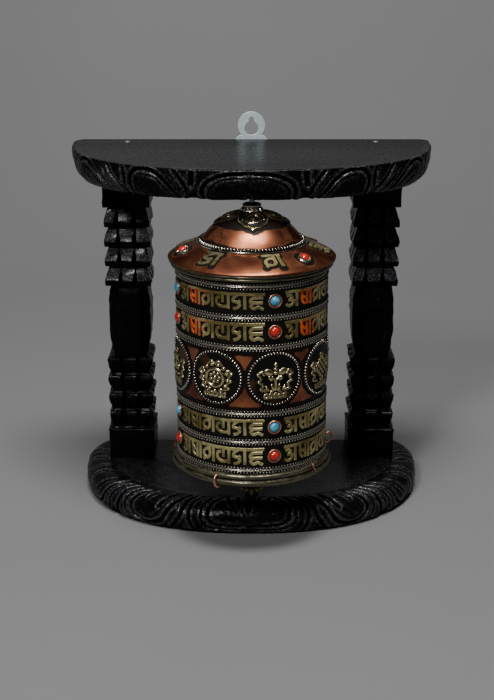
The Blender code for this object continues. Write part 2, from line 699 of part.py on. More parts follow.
def prayer_scroll():
    """The roll of printed paper that every such drum holds, in its cloth sleeve."""
    bore = SPINDLE_RADIUS + GAP
    low, high = DRUM_BOTTOM + 6 * MM, 200 * MM
    turned("paper_scroll", tube_wall(34 * MM, 34 * MM - bore, low, high), "paper", 32)
    turned("scroll_sleeve", tube_wall(35.2 * MM, 0.9 * MM, low + 4 * MM, high - 4 * MM),
           "saffron_cloth", 32)


clear_scene()
base_board()
top_board()
post("left_post", -1)
post("right_post", 1)
frame_fasteners()
hanger_plate()
spindle_group()
drum_casing()
crown_rosette()
wire_rings()
embossed_bands()
medallions()
cap_stones()
wire_ties()
prayer_scroll()
for model_object in MODEL.objects:
    if model_object.type == "MESH":
        smooth(model_object)
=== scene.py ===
import math

import bmesh
import bpy
import numpy as np
from mathutils import Matrix, Vector, noise


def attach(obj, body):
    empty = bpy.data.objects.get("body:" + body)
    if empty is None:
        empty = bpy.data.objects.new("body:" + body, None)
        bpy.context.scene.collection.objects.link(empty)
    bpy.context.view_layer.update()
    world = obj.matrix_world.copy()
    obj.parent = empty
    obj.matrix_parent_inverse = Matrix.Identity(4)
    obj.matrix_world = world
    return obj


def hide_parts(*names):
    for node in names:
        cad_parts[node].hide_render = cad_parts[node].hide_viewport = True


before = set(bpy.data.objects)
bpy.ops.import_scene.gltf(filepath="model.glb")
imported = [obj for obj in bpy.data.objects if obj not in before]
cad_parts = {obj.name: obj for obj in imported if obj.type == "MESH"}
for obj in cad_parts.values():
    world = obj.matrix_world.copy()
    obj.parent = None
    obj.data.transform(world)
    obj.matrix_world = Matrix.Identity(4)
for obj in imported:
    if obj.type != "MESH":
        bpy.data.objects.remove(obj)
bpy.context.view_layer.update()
MM = 0.001


# Base board
# A half-round plank of soft wood, carved round its rolled edge with lotus petals that open upwards,
# then stained black and waxed. Two countersunk screws hold the posts from below.

def leave_all():
    if bpy.context.mode != "OBJECT":
        bpy.ops.object.mode_set(mode="OBJECT")
    bpy.ops.object.select_all(action="DESELECT")


def take(piece):
    leave_all()
    piece.select_set(True)
    bpy.context.view_layer.objects.active = piece


def added(name):
    """The primitive just added, under its own name."""
    piece = bpy.context.object
    piece.name = name
    piece.data.name = name
    return piece


def corners(piece):
    """The piece's vertices as an array, in millimetres."""
    flat = np.empty(len(piece.data.vertices) * 3)
    piece.data.vertices.foreach_get("co", flat)
    return flat.reshape(-1, 3) / MM


def move_corners(piece, places):
    piece.data.vertices.foreach_set("co", (np.asarray(places, dtype=float) * MM).ravel())
    piece.data.update()


def note(piece, word, values):
    """Keeps a number for each vertex, for the piece's material."""
    layer = piece.data.attributes.get(word) or piece.data.attributes.new(word, "FLOAT", "POINT")
    layer.data.foreach_set("value", np.asarray(values, dtype=float))


def pick(piece, wanted):
    """In edit mode, selects the vertices whose numbers are given."""
    shape = bmesh.from_edit_mesh(piece.data)
    shape.verts.ensure_lookup_table()
    bpy.ops.mesh.select_all(action="DESELECT")
    for number in wanted:
        shape.verts[int(number)].select_set(True)
    shape.select_flush_mode()
    bmesh.update_edit_mesh(piece.data)


def smooth(piece, angle=35):
    take(piece)
    bpy.ops.object.shade_smooth_by_angle(angle=math.radians(angle))


def settle(piece):
    """Applies the piece's place, so that its object sits at the origin."""
    take(piece)
    bpy.ops.object.transform_apply(location=True, rotation=True, scale=True)
    return piece


def apply_all(piece):
    take(piece)
    for modifier in list(piece.modifiers):
        bpy.ops.object.modifier_apply(modifier=modifier.name)
    return piece


def join(pieces, name):
    leave_all()
    for piece in pieces:
        piece.select_set(True)
    bpy.context.view_layer.objects.active = pieces[0]
    if len(pieces) > 1:
        bpy.ops.object.join()
    return added(name)


def copy_of(piece, name):
    twin = piece.copy()
    twin.data = piece.data.copy()
    twin.name = name
    twin.data.name = name
    bpy.context.scene.collection.objects.link(twin)
    return twin


def cut_away(piece, tool, operation="DIFFERENCE"):
    """Cuts a closed tool out of the piece and throws the tool away."""
    modifier = piece.modifiers.new("cut", "BOOLEAN")
    modifier.operation = operation
    modifier.object = tool
    apply_all(piece)
    bpy.data.objects.remove(tool)


def drawn_through(points, parts=8):
    """A smooth line through a few points, as a carver draws it."""
    knots = np.array([points[0], *points, points[-1]], dtype=float)
    line = []
    for a, b, c, d in zip(knots, knots[1:], knots[2:], knots[3:]):
        for i in range(parts):
            t = i / parts
            line.append(0.5 * (
                2 * b + (c - a) * t + (2 * a - 5 * b + 4 * c - d) * t ** 2
                + (3 * b - a - 3 * c + d) * t ** 3
            ))
    line.append(knots[-1])
    return np.array(line)


def near_line(line, x, z, reach):
    """For each place: how far it is from a line, within reach, and how far along the line, 0 to 1."""
    away = np.full(x.shape, 1e9)
    along = np.zeros(x.shape)
    low, high = line.min(0) - reach, line.max(0) + reach
    near = (x > low[0]) & (x < high[0]) & (z > low[1]) & (z < high[1])
    px, pz = x[near], z[near]
    best, where = np.full(px.shape, 1e9), np.zeros(px.shape)
    for i, (a, b) in enumerate(zip(line, line[1:])):
        step = b - a
        length = max(float(step @ step), 1e-9)
        t = np.clip(((px - a[0]) * step[0] + (pz - a[1]) * step[1]) / length, 0, 1)
        gap = np.hypot(px - a[0] - t * step[0], pz - a[1] - t * step[1])
        closer = gap < best
        best[closer] = gap[closer]
        where[closer] = (i + t[closer]) / (len(line) - 1)
    away[near] = best
    along[near] = where
    return away, along


def eased(value):
    value = np.clip(value, 0, 1)
    return value * value * (3 - 2 * value)


def gouged(depth, x, z, points, width, deep, taper=True):
    """Deepens a groove along a line, with its ends run out."""
    line = drawn_through(points)
    away, along = near_line(line, x, z, width)
    cut = deep * np.clip(1 - away / (width / 2), 0, 1) ** 0.8
    if taper:
        cut *= eased(0.25 + 5 * np.minimum(along, 1 - along))
    return np.maximum(depth, cut)


def both_sides(strokes):
    """The strokes and their mirror images."""
    return strokes + [([(-x, z) for x, z in points], *rest) for points, *rest in strokes]


def half_round_outline(half_width, front, corner, count):
    """Equal steps round a board from its left back corner, by the front, to the right one, and
    the way out of the board at each."""
    back, power = 119.0, 2.3
    middle = back - corner
    turn = np.radians(np.linspace(90, 180, 60))
    left = np.column_stack([corner - half_width + corner * np.cos(turn), middle + corner * np.sin(turn)])
    turn = np.linspace(0, math.pi, 3001)[1:-1]
    side = np.cos(turn)
    bow = np.column_stack([
        -half_width * np.sign(side) * np.abs(side) ** (2 / power),
        middle - (middle - front) * np.sin(turn) ** (2 / power),
    ])
    line = np.vstack([left, bow, left[::-1] * (-1, 1)])
    length = np.concatenate([[0], np.cumsum(np.hypot(*np.diff(line, axis=0).T))])
    even = np.linspace(0, length[-1], count)
    line = np.column_stack([np.interp(even, length, line[:, 0]), np.interp(even, length, line[:, 1])])
    along = np.gradient(line, axis=0)
    along /= np.hypot(along[:, 0], along[:, 1])[:, None]
    out = np.column_stack([along[:, 1], -along[:, 0]])
    out[:, 1] = np.minimum(out[:, 1], 0)
    return line, out, even - length[-1] / 2


def carved_board(name, half_width, front, corner, edge, foot, depth_of, along=760, across=52):
    """Carves a flat strip, bends it round the board's edge and closes it above, below and behind.

    edge is the strip's section, from its lower rim upwards, as (out, up) points.
    """
    leave_all()
    bpy.ops.mesh.primitive_grid_add(x_subdivisions=along, y_subdivisions=across, size=2 * MM)
    piece = added(name)
    flat = corners(piece)
    columns = np.rint((flat[:, 0] + 1) / 2 * along).astype(int)
    rows = np.rint((flat[:, 1] + 1) / 2 * across).astype(int)
    line, out, steps = half_round_outline(half_width, front, corner, along + 1)
    section = drawn_through(edge, 12)
    length = np.concatenate([[0], np.cumsum(np.hypot(*np.diff(section, axis=0).T))])
    rise = np.linspace(0, length[-1], across + 1)
    section = np.column_stack([np.interp(rise, length, section[:, 0]), np.interp(rise, length, section[:, 1])])
    slope = np.gradient(section, axis=0)
    slope /= np.hypot(slope[:, 0], slope[:, 1])[:, None]
    x, z = np.meshgrid(steps, rise)
    depth = depth_of(x, z)
    wobble = np.array([
        noise.noise(Vector((a * 0.11, b * 0.11, half_width))) * 0.45
        + noise.noise(Vector((a * 0.5, b * 0.5, half_width))) * 0.16
        for a, b in zip(x.ravel(), z.ravel())
    ]).reshape(x.shape)
    rim = np.minimum(rise, rise[-1] - rise)[:, None]
    end = np.minimum(np.arange(along + 1), along - np.arange(along + 1))[None, :]
    depth = (depth + wobble) * eased(rim / 1.5) * eased((end - 2) / 8)
    softened = depth.copy()
    for shift in (1, 2, 3):
        softened = (
            softened + np.roll(softened, shift, 0) + np.roll(softened, -shift, 0)
            + np.roll(softened, shift, 1) + np.roll(softened, -shift, 1)
        ) / 5
    ridge = np.clip((softened - depth) * 2.2, 0, 1)
    reach = section[:, 0][:, None] - slope[:, 1][:, None] * depth
    up = foot + section[:, 1][:, None] + slope[:, 0][:, None] * depth
    places = np.empty_like(flat)
    places[:, 0] = line[columns, 0] + out[columns, 0] * reach[rows, columns]
    places[:, 1] = line[columns, 1] + out[columns, 1] * reach[rows, columns]
    places[:, 2] = up[rows, columns]
    move_corners(piece, places)
    # The ridge value marks the carving's convex edges; the wood's material paints a speckled highlight on them.
    note(piece, "ridge", ridge[rows, columns])
    # The sunk value marks the grooves' depth; the wood's material paints shade in them.
    note(piece, "sunk", np.clip(depth[rows, columns] / 3, 0, 1))
    bpy.ops.object.mode_set(mode="EDIT")
    bpy.ops.mesh.select_mode(type="VERT")
    ends = (columns == 0) | (columns == along)
    for row in (0, across):
        pick(piece, np.flatnonzero((rows == row) & ends))
        bpy.ops.mesh.edge_face_add()
        pick(piece, np.flatnonzero(rows == row))
        bpy.ops.mesh.edge_face_add()
    pick(piece, np.flatnonzero(ends))
    bpy.ops.mesh.edge_face_add()
    bpy.ops.mesh.select_all(action="SELECT")
    bpy.ops.mesh.normals_make_consistent(inside=False)
    bpy.ops.object.mode_set(mode="OBJECT")
    return piece


class Wire:
    """A socket of a material, so that masks and colours are written as sums."""

    def __init__(self, tree, socket):
        self.tree = tree
        self.socket = socket

    def node(self, kind, settings=None, inputs=None, output=0):
        made = self.tree.nodes.new(kind)
        for word, value in (settings or {}).items():
            if word == "stops":
                first, *middle, last = value
                ends = made.color_ramp.elements
                ends[0].position, ends[0].color = first
                ends[1].position, ends[1].color = last
                for place, colour in middle:
                    ends.new(place).color = colour
            else:
                setattr(made, word, value)
        for word, value in (inputs or {}).items():
            if isinstance(value, Wire):
                self.tree.links.new(value.socket, made.inputs[word])
            else:
                made.inputs[word].default_value = value
        return Wire(self.tree, made.outputs[output])

    def sum_of(self, operation, *values, clamp=False):
        return self.node(
            "ShaderNodeMath", {"operation": operation, "use_clamp": clamp}, dict(enumerate(values))
        )

    def __add__(self, other):
        return self.sum_of("ADD", self, other)

    def __mul__(self, other):
        return self.sum_of("MULTIPLY", self, other)

    def __sub__(self, other):
        return self.sum_of("SUBTRACT", self, other)

    def __rsub__(self, other):
        return self.sum_of("SUBTRACT", other, self)

    __radd__ = __add__
    __rmul__ = __mul__

    def between(self, low, high):
        """0 below low, 1 above high, and a soft step from one to the other."""
        return self.node(
            "ShaderNodeMapRange", {"interpolation_type": "SMOOTHSTEP"},
            {"Value": self, "From Min": low, "From Max": high},
        )

    def clipped(self):
        return self.sum_of("ADD", self, 0.0, clamp=True)

    def tint(self, bare, covered):
        """Goes from one colour to another as this mask goes from 0 to 1."""
        colours = {
            6: bare if isinstance(bare, Wire) else (*bare, 1.0),
            7: covered if isinstance(covered, Wire) else (*covered, 1.0),
        }
        return self.node("ShaderNodeMix", {"data_type": "RGBA"}, {0: self, **colours}, 2)

    def stretched(self, scale):
        return self.node("ShaderNodeMapping", {}, {"Vector": self, "Scale": scale})

    def speckle(self, scale, detail=3.0, rough=0.55, twist=0.0):
        return self.node("ShaderNodeTexNoise", {}, {
            "Vector": self, "Scale": scale, "Detail": detail, "Roughness": rough, "Distortion": twist,
        })

    def noted(self, word):
        return self.node("ShaderNodeAttribute", {"attribute_name": word}, {}, 2)


class Finish:
    """A new material, with its shader's sockets."""

    def __init__(self, name, metallic=0.0, roughness=0.5, coat=0.0, coat_rough=0.2):
        self.material = bpy.data.materials.new(name)
        self.material.use_nodes = True
        tree = self.material.node_tree
        self.shader = tree.nodes["Principled BSDF"]
        self.shader.inputs["Metallic"].default_value = metallic
        self.shader.inputs["Roughness"].default_value = roughness
        self.shader.inputs["Coat Weight"].default_value = coat
        self.shader.inputs["Coat Roughness"].default_value = coat_rough
        self.place = Wire(tree, tree.nodes.new("ShaderNodeTexCoord").outputs["Object"])

    def feed(self, **wires):
        for word, wire in wires.items():
            socket = self.shader.inputs[word.replace("_", " ")]
            self.shader.id_data.links.new(wire.socket, socket)
        return self

    def raised(self, height, distance, strength=1.0):
        bump = height.node("ShaderNodeBump", {}, {
            "Height": height, "Distance": distance * MM, "Strength": strength,
        })
        return self.feed(Normal=bump)

    def on(self, *pieces):
        for piece in pieces:
            piece.data.materials.clear()
            piece.data.materials.append(self.material)
        return self


def ebonised(name, grain, grey=1.0):
    """Black stain over soft wood, waxed: grain is the pattern's stretch, long across the fibres."""
    finish = Finish(name, roughness=0.4, coat_rough=0.24)
    finish.shader.inputs["Specular IOR Level"].default_value = 0.05
    place = finish.place
    fibres = place.stretched(grain).speckle(38.0, 4.0, 0.6, 0.4)
    pores = place.stretched(tuple(g * 1.6 for g in grain)).speckle(150.0, 3.0, 0.6)
    cloud = place.speckle(26.0, 3.0, 0.5)
    lumps = place.speckle(430.0, 4.0, 0.66)
    sparkle = place.speckle(1100.0, 2.0, 0.5)
    # Painted highlight: ridges and slanted tooth faces are speckled pale grey, stronger by grey, standing for the
    # glints on the waxed wood.
    wear_and_highlight = (place.noted("ridge") * (0.3 + place.speckle(320.0, 2.0).between(0.35, 0.65))).clipped() * grey
    dust = place.speckle(900.0, 1.0, 0.4).between(0.735, 0.76) * place.speckle(60.0, 1.0).between(0.5, 0.7)
    stain = fibres.between(0.3, 0.75).tint((0.0008, 0.0008, 0.0009), (0.0024, 0.0023, 0.0025))
    stain = (cloud.between(0.4, 0.75) * 0.6).tint(stain, (0.0045, 0.0044, 0.0048))
    stain = (wear_and_highlight * sparkle.between(0.38, 0.66) * 0.6).tint(stain, (0.10, 0.104, 0.114))
    # Painted shade: grooves and recesses go towards black with their depth.
    stain = (place.noted("sunk") * 0.8).tint(stain, (0.0008, 0.0008, 0.0009))
    stain = (dust * 0.35).tint(stain, (0.22, 0.21, 0.20))
    finish.feed(Base_Color=stain)
    wax = lumps.between(0.35, 0.7)
    finish.feed(Roughness=(0.17 + wax * 0.16 + fibres * 0.12 + place.noted("sunk") * 0.3).clipped())
    finish.feed(Coat_Weight=((place.noted("ridge") * 0.85 + 0.02) * sparkle.between(0.36, 0.62)).clipped())
    finish.raised(fibres * 0.8 + pores * 0.3 + lumps * (place.noted("ridge") * 0.7 + 0.12), 0.6, 1.0)
    return finish


board_wood = ebonised("ebonised_board", (0.12, 1.0, 1.0))

BASE_THICK = 23.5
base_top = 41.0
petals_up = both_sides([
    ([(19, 38), (27.5, 30), (32, 21), (30.5, 13), (22, 9), (0, 8)], 2.8, 2.7),
    ([(27, 39), (34, 30), (37.5, 21), (36, 11), (27, 5.5), (0, 4.6)], 2.2, 1.6),
    ([(9, 38), (8.4, 31), (7.6, 24)], 3.2, 3.2),
    ([(17.5, 37), (16, 31), (13.5, 25)], 3.2, 3.0),
    ([(37, 38), (43.5, 30), (47, 21), (46.5, 11), (42, 1.5)], 2.8, 2.8),
    ([(43, 38), (49, 30), (52.5, 21), (55, 13), (62, 2)], 3.4, 3.3),
    ([(48, 39), (57, 29), (64, 19), (70, 8.5), (79, 4.5), (88, 4.5), (96, 9), (99, 16), (95, 26), (85, 36)], 3.6, 3.6),
    ([(61, 33), (67.5, 23), (73, 14), (80, 9), (87, 9), (92, 13.5)], 1.6, 1.0),
    ([(94, 36), (102, 26), (105.5, 16), (104, 8), (98, 2)], 2.4, 2.0),
    ([(61, 38), (68, 28), (74, 18)], 3.4, 3.3),
    ([(76, 37), (82, 30), (86, 24)], 3.0, 2.4),
    ([(101, 37), (109, 26), (113, 14), (116, 3)], 3.6, 3.4),
    ([(108, 38), (117, 27), (123, 15), (125, 5)], 2.6, 2.2),
    ([(115, 38), (125, 28), (131, 17), (137, 7), (147, 4), (157, 8), (161, 17), (157, 28), (147, 37)], 3.2, 3.2),
    ([(133, 30), (140, 22), (145, 14)], 3.4, 3.0),
    ([(166, 36), (171, 25), (172, 13), (168, 4)], 2.6, 2.2),
    ([(184, 36), (190, 26), (193, 12)], 4.2, 3.8),
    ([(203, 36), (208, 26), (211, 12)], 4.2, 3.8),
]) + [([(0, 38), (0, 30), (0, 20)], 4.6, 4.4)]


def base_carving(x, z):
    x = x + 2.5
    depth = np.zeros(x.shape)
    for points, width, deep in petals_up:
        depth = gouged(depth, x, z, points, width, deep)
    side = np.abs(x)
    depth += 0.9 * eased((4.5 - z) / 4) * eased((200 - side) / 20)
    depth += 1.5 * eased((7 - np.abs(side - 57)) / 5) * eased((13 - z) / 9)
    depth += 1.5 * eased((8 - np.abs(side - 117)) / 5) * eased((13 - z) / 9)
    return depth * eased((38.5 - z) / 6)


base_edge = [
    (-3.2, 0), (-2.2, 0.7), (-0.9, 3.5), (-0.1, 7.5), (0, 11), (-0.9, 15.2), (-3.4, 19.0), (-7.2, 21.8),
    (-11.5, 23.1), (-16.0, 23.5), (-22.0, 23.5),
]
base = carved_board("carved_base_board", 139.0, -24.5, 17.0, base_edge, 0.0, base_carving, 760, 60)
for side in (-1, 1):
    leave_all()
    bpy.ops.mesh.primitive_cylinder_add(
        vertices=32, radius=4.6 * MM, depth=3.0 * MM, location=(side * 99.5 * MM, 98.25 * MM, 0)
    )
    cut_away(base, added("countersink"))
leave_all()
bpy.ops.mesh.primitive_cylinder_add(
    vertices=32, radius=5.2 * MM, depth=12 * MM, location=(0, 0, (BASE_THICK - 5) * MM)
)
cut_away(base, added("cup_seat"))
smooth(base, 50)
board_wood.on(base)
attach(base, "frame")
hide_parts("base_board")


# Top board
# The same plank turned over: its petals open downwards, over an edge that curves in below.
# The bare top is scraped flat, and a corner is chipped.

petals_down = both_sides([
    ([(0, 27.6), (12, 27.4), (21, 26), (29, 22.5), (33.5, 17.5), (34.5, 11), (32, 4)], 3.2, 3.2),
    ([(0, 24.2), (14, 23.8), (22, 21.5), (28, 17), (30, 11)], 1.6, 1.1),
    ([(41.5, 29.5), (42, 24), (43, 17)], 4.4, 3.8),
    ([(56, 30), (52, 25), (47.5, 18), (45.5, 11)], 3.0, 3.0),
    ([(61, 25), (56, 18), (51, 9), (49, 3)], 1.8, 1.2),
    ([(50, 3), (57, 13), (62.5, 21), (70, 26.8), (78, 29), (86, 28), (91, 23.5), (92.5, 15), (90, 4)], 3.6, 3.6),
    ([(55, 4), (61, 13), (67, 20), (74, 24), (82, 25)], 1.8, 1.2),
    ([(98, 29), (97, 22), (98, 14)], 3.6, 3.0),
    ([(115, 30), (110, 22), (102, 13), (96, 3)], 3.4, 3.2),
    ([(122, 28), (116, 19), (108, 10), (103, 3)], 2.4, 2.0),
    ([(111, 3), (120, 12), (129, 21.5), (137, 27), (147, 29), (155, 26), (159, 17), (156, 6)], 3.4, 3.4),
    ([(119, 4), (128, 14), (137, 21), (146, 23)], 1.8, 1.2),
    ([(132, 6), (138, 12), (145, 17)], 2.6, 2.0),
    ([(165, 29), (166, 19), (163, 8)], 4.0, 3.6),
    ([(176, 29), (173, 19), (169, 8)], 3.0, 2.6),
    ([(174, 4), (182, 14), (191, 22), (201, 25), (208, 20), (209, 10)], 3.2, 2.8),
    ([(182, 5), (189, 14), (197, 18)], 1.8, 1.2),
]) + [([(0, 3), (0, 7), (0, 10.5)], 3.4, 2.6)]


def top_carving(x, z):
    x = x + 2.2
    depth = np.zeros(x.shape)
    for points, width, deep in petals_down:
        depth = gouged(depth, x, z, points, width, deep)
    side = np.abs(x)
    for middle, reach in ((42, 7), (98, 7), (166, 7)):
        depth += 1.3 * eased((reach - np.abs(side - middle)) / reach) * eased((18 - z) / 9)
    return depth


TOP_FOOT = 261.0
top_edge = [
    (-13.0, 0), (-9.0, 0), (-7.0, 0.5), (-5.0, 2.2), (-3.2, 5.0), (-1.6, 9.0), (-0.5, 13.5), (0, 17.5),
    (0, 21.0), (-0.1, 22.4), (-0.7, 23.0), (-2.4, 23.0),
]
top = carved_board("carved_top_board", 142.5, -24.0, 9.0, top_edge, TOP_FOOT, top_carving, 760, 52)
leave_all()
bpy.ops.mesh.primitive_cylinder_add(
    vertices=32, radius=2.4 * MM, depth=14 * MM, location=(0, 0, (TOP_FOOT + 4) * MM)
)
cut_away(top, added("spindle_hole"))
leave_all()
bpy.ops.mesh.primitive_cube_add(size=5 * MM, location=(-142.5 * MM, 62 * MM, (TOP_FOOT + 23) * MM))
chip = added("chip")
chip.scale = (0.9, 1.7, 0.35)
chip.rotation_euler = (0.3, 0.5, 0.25)
cut_away(top, settle(chip))
smooth(top, 50)
board_wood.on(top)
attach(top, "frame")
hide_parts("top_board")


# Posts
# Two square pillars of the same wood, each cut with four rows of pointed teeth, an eight-sided
# barrel with gouged scales, and four rows of rounded lobes over a plain block.

POST_X, POST_WIDE, POST_DEEP, POST_BACK = 99.5, 38.0, 41.5, 119.0
LOBE_FOOT, LOBE, LOBES = 25.5, 15.6, 4
TEETH_FOOT, TOOTH, ROWS = 148.4, 16.1, 4


def post_heights():
    """Height above the base board, how far the section is drawn in, and its chamfer."""
    rows = [(0.0, 0.4, 0.5), (23.6, 0.2, 0.5), (24.6, -0.2, 0.5), (25.2, 0.3, 0.6), (25.3, 3.2, 0.6)]
    for i in range(LOBES):
        low = LOBE_FOOT + i * LOBE
        rows += [
            (low + 1.2, 3.9, 1.0), (low + 4.0, 2.8, 0.9), (low + 7.5, 1.5, 0.9), (low + 11.0, 0.8, 0.8),
            (low + 13.6, 0.7, 0.8), (low + 14.6, 1.3, 0.8), (low + 15.2, 3.0, 0.9),
        ]
    rows += [
        (88.6, 5.4, 4.0), (93.0, 4.4, 6.5), (100.0, 2.9, 8.2), (110.0, 2.2, 8.6), (122.0, 2.0, 8.6),
        (134.0, 2.3, 8.4), (141.0, 3.1, 7.8), (146.0, 4.4, 6.4), (148.1, 5.4, 5.0),
    ]
    for i in range(ROWS):
        low = TEETH_FOOT + i * TOOTH
        rows += [
            (low, 0.8, 0.5), (low + 4.6, 0.5, 0.5), (low + 5.1, 0.7, 0.5),
            (low + 10.5, 2.3, 0.5), (low + TOOTH - 0.5, 4.0, 0.5),
        ]
    cap = TEETH_FOOT + ROWS * TOOTH
    return rows + [(cap, 0.2, 0.4), (cap + 12, 0.0, 0.4), (237.4, 0.0, 0.4)]


def post_section(inset, chamfer):
    half, front = POST_WIDE / 2 - inset, POST_BACK - POST_DEEP + inset
    nick = min(chamfer, 0.8)
    return [
        (-half + chamfer, front), (half - chamfer, front), (half, front + chamfer), (half, POST_BACK - nick),
        (half - nick, POST_BACK), (-half + nick, POST_BACK), (-half, POST_BACK - nick), (-half, front + chamfer),
    ]


def wedge(x, low, wide, tall, deep, narrow=0.0):
    """A cutter for a notch in the post's front: wide at its foot, narrow at its top."""
    leave_all()
    bpy.ops.mesh.primitive_cube_add(size=1)
    tool = added("notch")
    places = corners(tool) * MM
    top_side = places[:, 2] > 0
    places[:, 0] *= np.where(top_side, narrow, wide) * np.where(places[:, 1] > 0, 0.35, 1.6)
    places[:, 1] *= 2 * deep
    places[:, 2] = np.where(top_side, low + tall, low)
    places += (x, POST_BACK - POST_DEEP, 0)
    move_corners(tool, places)
    return tool


def turned_about_post(tool, quarter):
    """Moves a cutter from the post's front to its side."""
    places = corners(tool)
    y = places[:, 1] - POST_BACK + POST_DEEP
    x = places[:, 0].copy()
    places[:, 0] = -quarter * (y - POST_WIDE / 2)
    places[:, 1] = POST_BACK - POST_DEEP / 2 + quarter * x
    move_corners(tool, places)
    return tool


def carved_post(name, side, seed):
    leave_all()
    bpy.ops.mesh.primitive_circle_add(vertices=8, radius=MM, fill_type="NGON")
    post = added(name)
    heights = post_heights()
    bpy.ops.object.mode_set(mode="EDIT")
    bpy.ops.mesh.select_all(action="SELECT")
    for _ in heights[1:]:
        bpy.ops.mesh.extrude_region_move(TRANSFORM_OT_translate={"value": (0, 0, MM)})
    bpy.ops.object.mode_set(mode="OBJECT")
    raw = corners(post)
    level = np.rint(raw[:, 2]).astype(int)
    around = np.rint(np.degrees(np.arctan2(raw[:, 1], raw[:, 0])) / 45).astype(int) % 8
    order = {(5 + k) % 8: k for k in range(8)}
    places = np.empty_like(raw)
    for number, (row, turn) in enumerate(zip(level, around)):
        height, inset, chamfer = heights[row]
        x, y = post_section(inset, chamfer)[order[turn]]
        places[number] = (x, y, height)
    move_corners(post, places)
    take(post)
    bpy.ops.object.mode_set(mode="EDIT")
    bpy.ops.mesh.select_all(action="SELECT")
    bpy.ops.mesh.normals_make_consistent(inside=False)
    bpy.ops.object.mode_set(mode="OBJECT")
    luck = np.random.default_rng(seed)
    tools = []
    for quarter in (0, -1, 1):
        wide = POST_WIDE if quarter == 0 else POST_DEEP
        for column in (-1, 1):
            x = column * wide / 6
            for i in range(ROWS):
                low = TEETH_FOOT + i * TOOTH + 0.3
                shift, more = luck.normal(0, 0.5), luck.normal(0, 0.25)
                tools.append((wedge(x + shift, low - 0.2, 6.8 + more, 14.6 + more, 8.0, 1.0), quarter))
            for i in range(LOBES):
                low = LOBE_FOOT + i * LOBE
                tools.append((wedge(x + luck.normal(0, 0.4), low + 0.6, 4.2, 15.2, 6.5, 4.6), quarter))
    for tool, quarter in tools:
        if quarter:
            turned_about_post(tool, quarter)
    for tool, _ in tools:
        cut_away(post, tool)
    for i in range(5):
        leave_all()
        bpy.ops.mesh.primitive_torus_add(
            major_radius=(4.2 + luck.normal(0, 0.3)) * MM, minor_radius=(1.15 if i else 1.5) * MM, major_segments=24,
            minor_segments=8, location=(luck.normal(0, 0.4) * MM, 78.5 * MM, (141.5 - i * 11.3) * MM),
            rotation=(math.radians(-70), 0, 0),
        )
        cut_away(post, settle(added("scale_gouge")))
    for corner in (-1, 1):
        for i in range(4):
            leave_all()
            bpy.ops.mesh.primitive_torus_add(
                major_radius=3.0 * MM, minor_radius=0.85 * MM, major_segments=20, minor_segments=8,
                location=(corner * 13.3 * MM, 83.2 * MM, (135.5 - i * 11.3 + luck.normal(0, 0.6)) * MM),
                rotation=(math.radians(-68), 0, corner * math.radians(45)),
            )
            cut_away(post, settle(added("nick_gouge")))
    post.modifiers.new("worn_edges", "BEVEL").width = 0.35 * MM
    post.modifiers["worn_edges"].segments = 2
    post.modifiers["worn_edges"].limit_method = "ANGLE"
    post.modifiers["worn_edges"].angle_limit = math.radians(28)
    apply_all(post)
    bpy.ops.object.mode_set(mode="EDIT")
    for axis, start, stop in ((0, -16, 17), (1, 81, 117), (2, 4, 236)):
        for level in range(start, stop, 4):
            spot, normal = [0, 0, 0], [0, 0, 0]
            spot[axis], normal[axis] = (level + 0.37) * MM, 1
            bpy.ops.mesh.select_all(action="SELECT")
            bpy.ops.mesh.bisect(plane_co=spot, plane_no=normal)
    bpy.ops.mesh.select_all(action="SELECT")
    bpy.ops.mesh.remove_doubles(threshold=0.01 * MM)
    bpy.ops.mesh.quads_convert_to_tris(quad_method="BEAUTY", ngon_method="BEAUTY")
    bpy.ops.object.mode_set(mode="OBJECT")
    places = corners(post)
    for number, (x, y, z) in enumerate(places):
        broad = noise.noise_vector(Vector((x * 0.13 + seed, y * 0.13, z * 0.16)))
        fine = noise.noise_vector(Vector((x * 0.45, y * 0.45 + seed, z * 0.45)))
        push = broad * 0.75 + fine * 0.35
        free = 1.0 if 2 < z < 236 else 0.0
        places[number] = (x + push.x * free, y + push.y * free * (y < 117), z + push.z * free * 0.6)
    height = places[:, 2]
    # The slanted tooth faces, brightest at their feet, and the lobes' upper rims are marked as ridge, for the painted
    # highlight.
    proud = np.zeros(len(places))
    for i in range(ROWS):
        low = TEETH_FOOT + i * TOOTH
        slant = (height > low + 4.2) & (height < low + TOOTH - 0.6)
        proud[slant] = 1 - 0.55 * (height[slant] - low - 4.2) / TOOTH
    for i in range(LOBES):
        low = LOBE_FOOT + i * LOBE
        proud = np.maximum(proud, 0.2 * (np.abs(height - low - 14.0) < 0.9))
    # Recessed parts of the post are marked sunk, for the painted shade.
    rows = np.array(heights)
    drawn_in = np.interp(height, rows[:, 0], rows[:, 1])
    inside = np.minimum(places[:, 1] - (POST_BACK - POST_DEEP), POST_WIDE / 2 - np.abs(places[:, 0])) - drawn_in
    sunk = np.clip((np.minimum(inside, POST_BACK - places[:, 1]) - 0.9) / 1.2, 0, 1)
    note(post, "ridge", proud * (1 - sunk) * 0.8)
    note(post, "sunk", sunk)
    places[:, 0] += side * POST_X
    places[:, 2] += BASE_THICK
    move_corners(post, places)
    smooth(post, 32)
    return post


post_wood = ebonised("ebonised_post", (1.0, 1.0, 0.15), 1.4)
for name, side, seed in (("left_post", -1, 3), ("right_post", 1, 8)):
    post = carved_post(f"carved_{name}", side, seed)
    post_wood.on(post)
    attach(post, "frame")
    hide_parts(name)


# Screws, nails and wall plate
# Steel screws come up through the base and nails go down through the top into the posts. A zinc
# plated keyhole plate is screwed behind the top board and stands above it.

